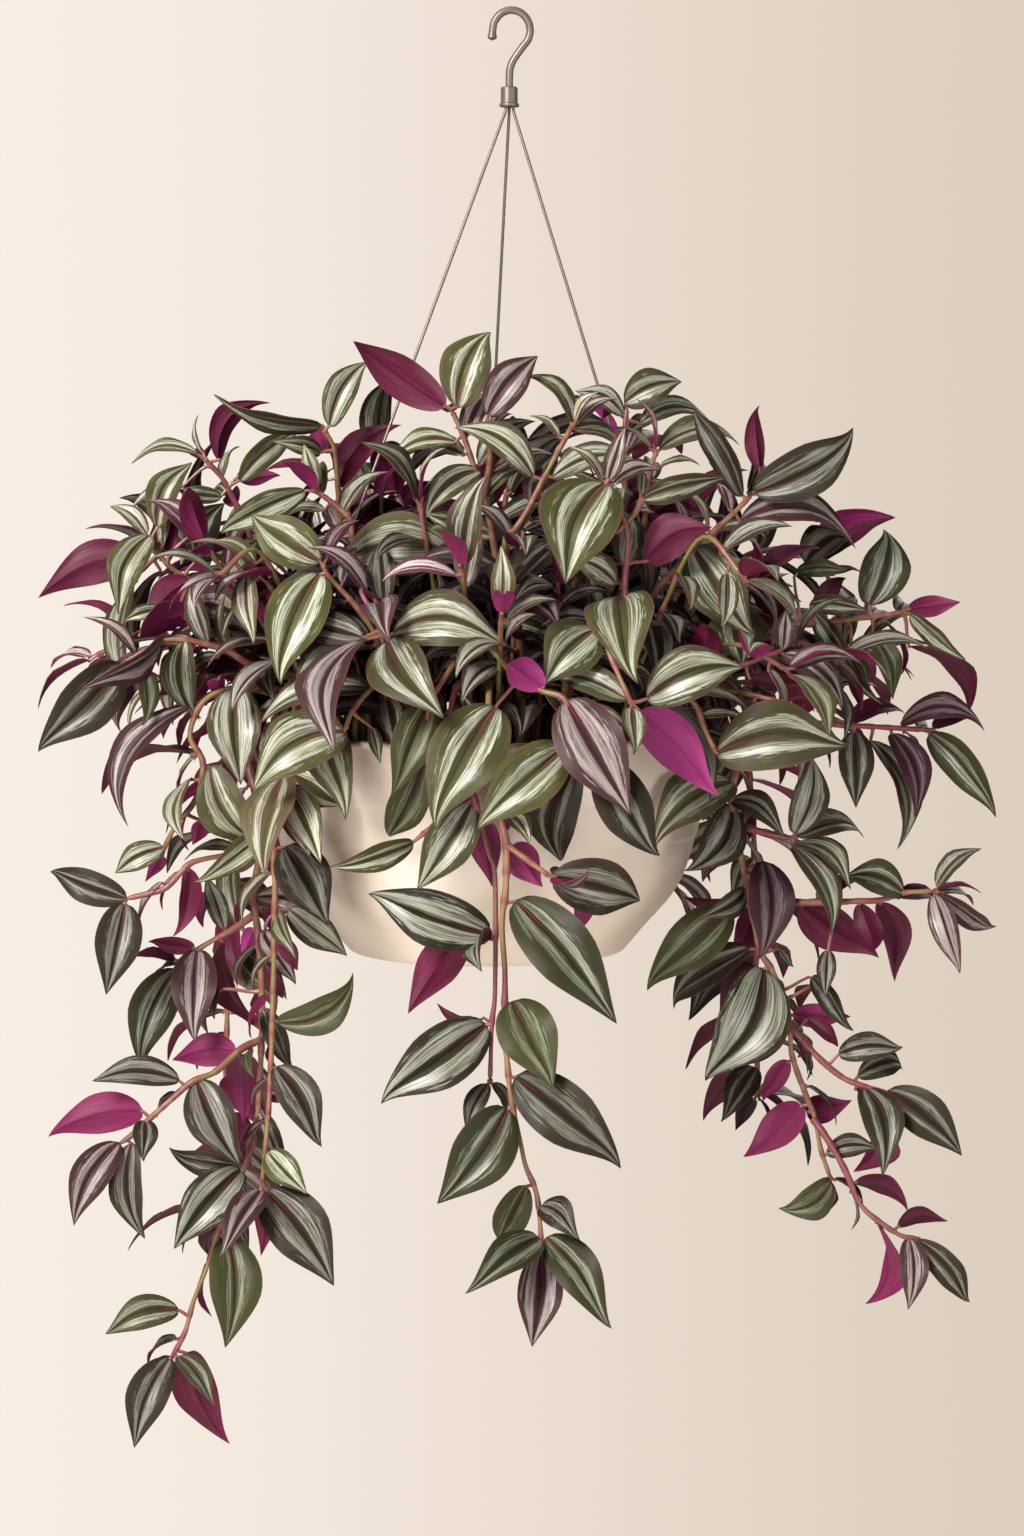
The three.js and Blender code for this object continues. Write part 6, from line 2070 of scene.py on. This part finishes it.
ivory, n = new_material("ivory_plastic", Specular_IOR_Level=0.14)
cloud = n.noise(n.object_place(), 9.0, 3.0)
n.paint(Base_Color=n.mix(n.step(cloud, 0.35, 0.7, 0.0, 0.5), IVORY, IVORY_WARM))
n.paint(Roughness=n.step(cloud, 0.3, 0.7, 0.42, 0.52))
n.bump(n.noise(n.object_place(), 900.0, 2.0), 0.04, 0.0003)

turns = [360 / DRAIN_COUNT * k + 90 for k in range(DRAIN_COUNT)]
cutters = [hole(turn, DRAIN_RING, POT_BASE_Z, POT_BASE_Z + POT_FLOOR, DRAIN_RADIUS, 32) for turn in turns]
for turn in WIRE_AZIMUTHS.values():
    radius = WIRE_RADIUS + HOLE_ROOM
    cutters.append(hole(turn, WIRE_RING_RADIUS, RIM_Z - FLANGE_THICK, RIM_Z, radius, 16))

pot = piece_from("ivory_pot", [turned(profile, POT_SIDES, POT_AXIS_X)], [ivory])
cutter = piece_from("hole_cutter", cutters, [ivory])
cut = pot.modifiers.new("holes", "BOOLEAN")
cut.operation = "DIFFERENCE"
cut.solver = "EXACT"
cut.object = cutter
whole = bpy.data.meshes.new_from_object(pot.evaluated_get(bpy.context.evaluated_depsgraph_get()))
pot.modifiers.clear()
pot.data = whole
whole.name = "ivory_pot"
bpy.data.objects.remove(cutter)
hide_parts("pot")
print("pot:", len(pot.data.polygons), "faces,", round(pot.dimensions.x / MM), "mm over the flange")

# %% [markdown]
# ## The soil
#
# The soil's top is a turned surface whose heights are raised by a sum of waves, and small clods lie on it.
# Each clod is a ball of a few faces, squeezed by a random amount.

# %% Bed of soil
SOIL_SIDES = 96
SOIL_RINGS = 36
SOIL_GAP = 0.6
SOIL_RISE = 3
SOIL_SLOPE = 58
SOIL_EDGE_HEIGHT = POT_HEIGHT - 18
LUMP_WAVES = 6
LUMP_LENGTH = 26
LUMP_SHRINK = 0.62
LUMP_CROSS = 0.7
LUMP_HEIGHT = 0.7
LUMP_SINK = 0.9


def crumbly(points):
    """Heights of the soil's lumps: a sum of waves in turned directions, each shorter and lower than the
    last by one factor."""
    height = np.zeros(len(points))
    for k in range(LUMP_WAVES):
        angle = k * math.radians(GOLDEN_TURN)
        wave = 2 * np.pi / (LUMP_LENGTH * LUMP_SHRINK**k)
        across = points[:, 0] * math.cos(angle) + points[:, 1] * math.sin(angle)
        beside = points[:, 1] * math.cos(angle) - points[:, 0] * math.sin(angle)
        height += LUMP_SHRINK**k * np.sin(wave * across + k) * np.cos(wave * LUMP_CROSS * beside + 2 * k)
    return LUMP_HEIGHT * height


bottom = POT_FLOOR + CLEAR
edge_radius = inner_radius(SOIL_EDGE_HEIGHT) - SOIL_GAP
heights = np.linspace(bottom, SOIL_EDGE_HEIGHT - 1, 12)
radii = np.linspace(edge_radius, 3, SOIL_RINGS)
rise = SOIL_RISE * np.minimum(1, (edge_radius - radii) / SOIL_SLOPE)
profile = [
    (0, bottom), *zip(inner_radius(heights) - SOIL_GAP, heights), *zip(radii, SOIL_EDGE_HEIGHT + rise),
    (0, SOIL_EDGE_HEIGHT + SOIL_RISE),
]
bed = turned([(radius, POT_BASE_Z + height) for radius, height in profile], SOIL_SIDES, POT_AXIS_X)
raised = bed["points"][:, 2] > POT_BASE_Z + SOIL_EDGE_HEIGHT - 0.5
bed["points"][raised, 2] += crumbly(bed["points"][raised]) - LUMP_SINK
print("the soil's top is", round(2 * float(edge_radius)), "mm across")

# %% [markdown]
# ## Clods and peat
#
# The clods lie at random places, evenly over the disc: that takes the square root of a random number as the
# radius. Peat is brown and rough, with crumbs of two sizes and a few pale chips.

# %% Clods on the soil
CLOD_COUNT = 420
CLOD_SIZE = (1.2, 3.4)
CLOD_SQUEEZE = (0.6, 1.2)
CLOD_LUMPS = (0.75, 1.2)
CLOD_SIDES = 6
CLOD_LEVELS = (-0.55, 0.55)
CLOD_REACH = 118.6 * 0.94
CLOD_SINK = 0.6
CLOD_SLOPE_FROM = 60
PEAT_DARK = colour(30, 22, 18)
PEAT_BROWN = colour(74, 54, 40)
PEAT_CHIP = colour(112, 88, 66)

lump = np.random.default_rng(HIDDEN_SEED)
turns = lump.uniform(0, 2 * np.pi, CLOD_COUNT)
radii = CLOD_REACH * np.sqrt(lump.uniform(0, 1, CLOD_COUNT))
heights = SOIL_Z - CLOD_SINK - SOIL_RISE * np.clip((radii - CLOD_SLOPE_FROM) / SOIL_SLOPE, 0, 1)
middles = np.column_stack([POT_AXIS_X + radii * np.cos(turns), radii * np.sin(turns), heights])
ring = 2 * np.pi * np.arange(CLOD_SIDES) / CLOD_SIDES
ball = []
for k, level in enumerate(CLOD_LEVELS):
    flat, high = math.cos(level), math.sin(level)
    ball.append(np.column_stack([np.cos(ring + k) * flat, np.sin(ring + k) * flat, 0 * ring + high]))
ball = np.vstack([*ball, [(0, 0, -1), (0, 0, 1)]])
sizes = lump.uniform(*CLOD_SIZE, (CLOD_COUNT, 1, 1)) * lump.uniform(*CLOD_SQUEEZE, (CLOD_COUNT, 1, 3))
knobs = ball * sizes * lump.uniform(*CLOD_LUMPS, (CLOD_COUNT, len(ball), 1)) + middles[:, None]
ball_faces = ring_faces(len(CLOD_LEVELS), CLOD_SIDES)
clods = plain_part(knobs.reshape(-1, 3), [repeated(faces, CLOD_COUNT, len(ball)) for faces in ball_faces])

peat, n = new_material("peat", Specular_IOR_Level=0.25)
crumbs = n.noise(n.object_place(), 260.0, 4.0, 0.65)
chips = n.noise(n.object_place(), 700.0, 2.0)
earth = n.mix(n.step(crumbs, 0.35, 0.7), PEAT_DARK, PEAT_BROWN)
n.paint(Base_Color=n.mix(n.step(chips, 0.62, 0.72, 0.0, 0.7), earth, PEAT_CHIP))
n.paint(Roughness=n.step(chips, 0.3, 0.7, 0.95, 0.8))
n.bump(crumbs, 0.6, 0.002)

soil = piece_from("peat_soil", [bed, clods], [peat])
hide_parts("soil")
print("soil:", len(soil.data.polygons), "faces")

# %% [markdown]
# ## The hanger
#
# The hook is a smooth bar with a rounded end, bent into a loop; a collar holds it and the three wires. All
# are bars carried along a path, or turned, so the helpers from above make them. They share one taupe paint.

# %% Hook, collar and wires
HOOK_BAR = 2.1
HOOK_KNOB = 2.7
HOOK_LOOP_X = -0.3
HOOK_HALF = (10.2, 10.9)
HOOK_ARC = (180, 155, 125, 95, 65, 35, 5, -25, -52)
HOOK_TIP = (-10.8, -13.4)
HOOK_NECK = ((1.1, -24.3), (-0.9, -29), (HANGER_X, -34))
HOOK_STEPS = 120
HOOK_SIDES = 20
SHANK_GRIP = 3.2
KNOB_LENGTH = 3.0
KNOB_END = 0.72
COLLAR_RADII = (5.4, 4.7, 4.1)
COLLAR_HEIGHTS = (1.6, 2.2, -0.6)
COLLAR_ROUND = 0.4
COLLAR_SIDES = 64
WIRE_SIDES = 12
WIRE_ROUND = 1.6
TAUPE = colour(108, 98, 88)
TAUPE_DARK = colour(98, 89, 80)

taupe, n = new_material("taupe_paint", Metallic=0.35)
cloud = n.noise(n.object_place(), 60.0, 3.0)
n.paint(Base_Color=n.mix(n.step(cloud, 0.35, 0.7, 0.0, 0.7), TAUPE, TAUPE_DARK))
n.paint(Roughness=n.step(cloud, 0.3, 0.7, 0.34, 0.42))


def plain_bar(path, radii, sides):
    """A bar without tints."""
    return carried(path, radii, sides, 0, np.zeros((len(path), len(VALUE_NAMES))))


arc = np.radians(HOOK_ARC)
half_x, half_z = HOOK_HALF
loop_z = HOOK_BAR - half_z + half_z * np.sin(arc)
loop = np.column_stack([HOOK_LOOP_X + half_x * np.cos(arc), 0 * arc, loop_z])
neck = [point(x, 0, z) for x, z in (*HOOK_NECK, (HANGER_X, COLLAR_TOP_Z - SHANK_GRIP))]
bend, length = even_places([point(HOOK_TIP[0], 0, HOOK_TIP[1]), *loop, *neck], HOOK_STEPS)
knob = np.clip(np.linspace(0, length, HOOK_STEPS + 1) / KNOB_LENGTH, 0, 1)
radii = HOOK_BAR + (HOOK_KNOB - HOOK_BAR) * (1 - knob**2)
radii[0] *= KNOB_END
hook = piece_from("bent_hook", [plain_bar(bend, radii, HOOK_SIDES)], [taupe])
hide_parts("hook")

foot, sleeve, top = COLLAR_RADII
bead, above_bead, below_top = COLLAR_HEIGHTS
corners = [
    (0, COLLAR_BOTTOM_Z), (foot, COLLAR_BOTTOM_Z), (foot, COLLAR_BOTTOM_Z + bead),
    (sleeve, COLLAR_BOTTOM_Z + above_bead), (sleeve, COLLAR_TOP_Z + below_top), (top, COLLAR_TOP_Z),
    (0, COLLAR_TOP_Z),
]
corners = np.array(corners, float)
arcs = []
for before, corner, after in zip(corners[:-2], corners[1:-1], corners[2:]):
    shorter = min(np.linalg.norm(corner - before), np.linalg.norm(after - corner))
    arcs.append(rounded(corner, before, after, min(COLLAR_ROUND, shorter / 3)))
profile = np.vstack([corners[:1], *arcs, corners[-1:]])
collar = piece_from("crimped_collar", [turned(profile, COLLAR_SIDES, HANGER_X)], [taupe])
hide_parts("collar")

for name, degrees in WIRE_AZIMUTHS.items():
    corners = wire_path(degrees)
    bends = [rounded(*corners[[k, k - 1, k + 1]], WIRE_ROUND, 5) for k in (1, 2, 3)]
    path = np.vstack([corners[:1], *bends, corners[-1:]])
    radii = np.full(len(path), WIRE_RADIUS)
    wire = piece_from(f"hanger_wire_{name}", [plain_bar(path, radii, WIRE_SIDES)], [taupe])
    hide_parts(f"wire_{name}")
print("the hook's bar is", round(length), "mm long")

# %% [markdown]
# ## Light and surroundings
#
# The picture has a plain cream wall and soft light from the upper left. The world gives the wall: the camera
# sees it at full strength, but it lights the plant only weakly, so that the crown stays dark inside. A large
# lamp on the left is the window, a weaker one on the right fills the shadows, and a floor far below closes
# the room.

# %% Wall
# painted light: the wall is lighter on the left, towards the window, and darker on the right
WALL_PAINTED_LIT = colour(248, 238, 227)
WALL_PAINTED_SHADED = colour(221, 207, 191)
WALL_WIDTH = 0.16
WORLD_LIGHT = 0.12

scene = bpy.context.scene
scene.view_settings.view_transform = "Standard"
world = bpy.data.worlds.new("cream_wall")
scene.world = world
world.use_nodes = True
background = world.node_tree.nodes["Background"]
n = Sketch(world.node_tree, background)
split = n.node("ShaderNodeSeparateXYZ", n.node("ShaderNodeTexCoord").outputs["Generated"])
# painted light across the wall, from lit on the left to shaded on the right
n.paint(Color=n.mix(n.step(split.outputs[0], -WALL_WIDTH, WALL_WIDTH), WALL_PAINTED_LIT, WALL_PAINTED_SHADED))
to_camera = n.node("ShaderNodeLightPath").outputs["Is Camera Ray"]
n.paint(Strength=n.step(to_camera, 0.0, 1.0, WORLD_LIGHT, 1.0))
print("the wall lights the plant at", WORLD_LIGHT, "of its brightness")

# %% Lamps and floor
LAMPS = {
    "window": dict(at=(-1.3, -1.7, 0.95), size=(0.9, 0.9), power=112, tint=(1.0, 0.97, 0.92)),
    "fill": dict(at=(1.8, -1.7, -0.4), size=(1.6, 1.6), power=30, tint=(1.0, 0.96, 0.92)),
    "top": dict(at=(-0.3, 0.3, 1.6), size=(1.2, 1.2), power=8, tint=(1.0, 0.98, 0.95)),
    "behind": dict(at=(0.9, 2.0, 0.4), size=(1.4, 1.4), power=14, tint=(1.0, 0.97, 0.94)),
    "low": dict(at=(-0.9, -2.1, -0.8), size=(1.0, 1.6), power=30, tint=(1.0, 0.96, 0.91)),
}
AIM = point(0, 0, -0.42)
FLOOR_TOP, FLOOR_BOTTOM = -1600.0, -1610.0
FLOOR_RADIUS = 2300.0
FLOOR_SIDES = 128

for name, lamp in LAMPS.items():
    light = bpy.data.lights.new(name, "AREA")
    light.shape = "RECTANGLE"
    light.size, light.size_y = lamp["size"]
    light.energy = lamp["power"]
    light.color = lamp["tint"]
    holder = bpy.data.objects.new(name, light)
    holder.location = lamp["at"]
    direction = AIM - point(*lamp["at"])
    yaw = math.atan2(direction[1], direction[0]) - math.pi / 2
    tilt = math.acos(-direction[2] / np.linalg.norm(direction))
    holder.rotation_euler = (tilt, 0, yaw)
    scene.collection.objects.link(holder)

floor_paint, n = new_material("pale_floor", Specular_IOR_Level=0.2, Roughness=0.85)
shade = n.noise(n.object_place(), 3.0, 2.0)
n.paint(Base_Color=n.mix(shade, colour(238, 229, 217), colour(230, 219, 206)))
profile = [(0, FLOOR_BOTTOM), (FLOOR_RADIUS, FLOOR_BOTTOM), (FLOOR_RADIUS, FLOOR_TOP), (0, FLOOR_TOP)]
floor = piece_from("floor", [turned(profile, FLOOR_SIDES, 0)], [floor_paint])
floor.parent = None
floor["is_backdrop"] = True
print(len(LAMPS), "lamps, and a floor", round(-FLOOR_TOP), "mm below the hook")

# %% [markdown]
# ## Sizes, and the end
#
# The dressed plant must keep the box of the CAD model. The last lines work out the new box and print how
# much it has grown on each side.

# %% Compare the boxes and finish
new_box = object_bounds()
growth = [[round((b - a) / MM, 1) for a, b in zip(old, new)] for old, new in zip(cad_box, new_box)]
print("growth in mm:", growth)
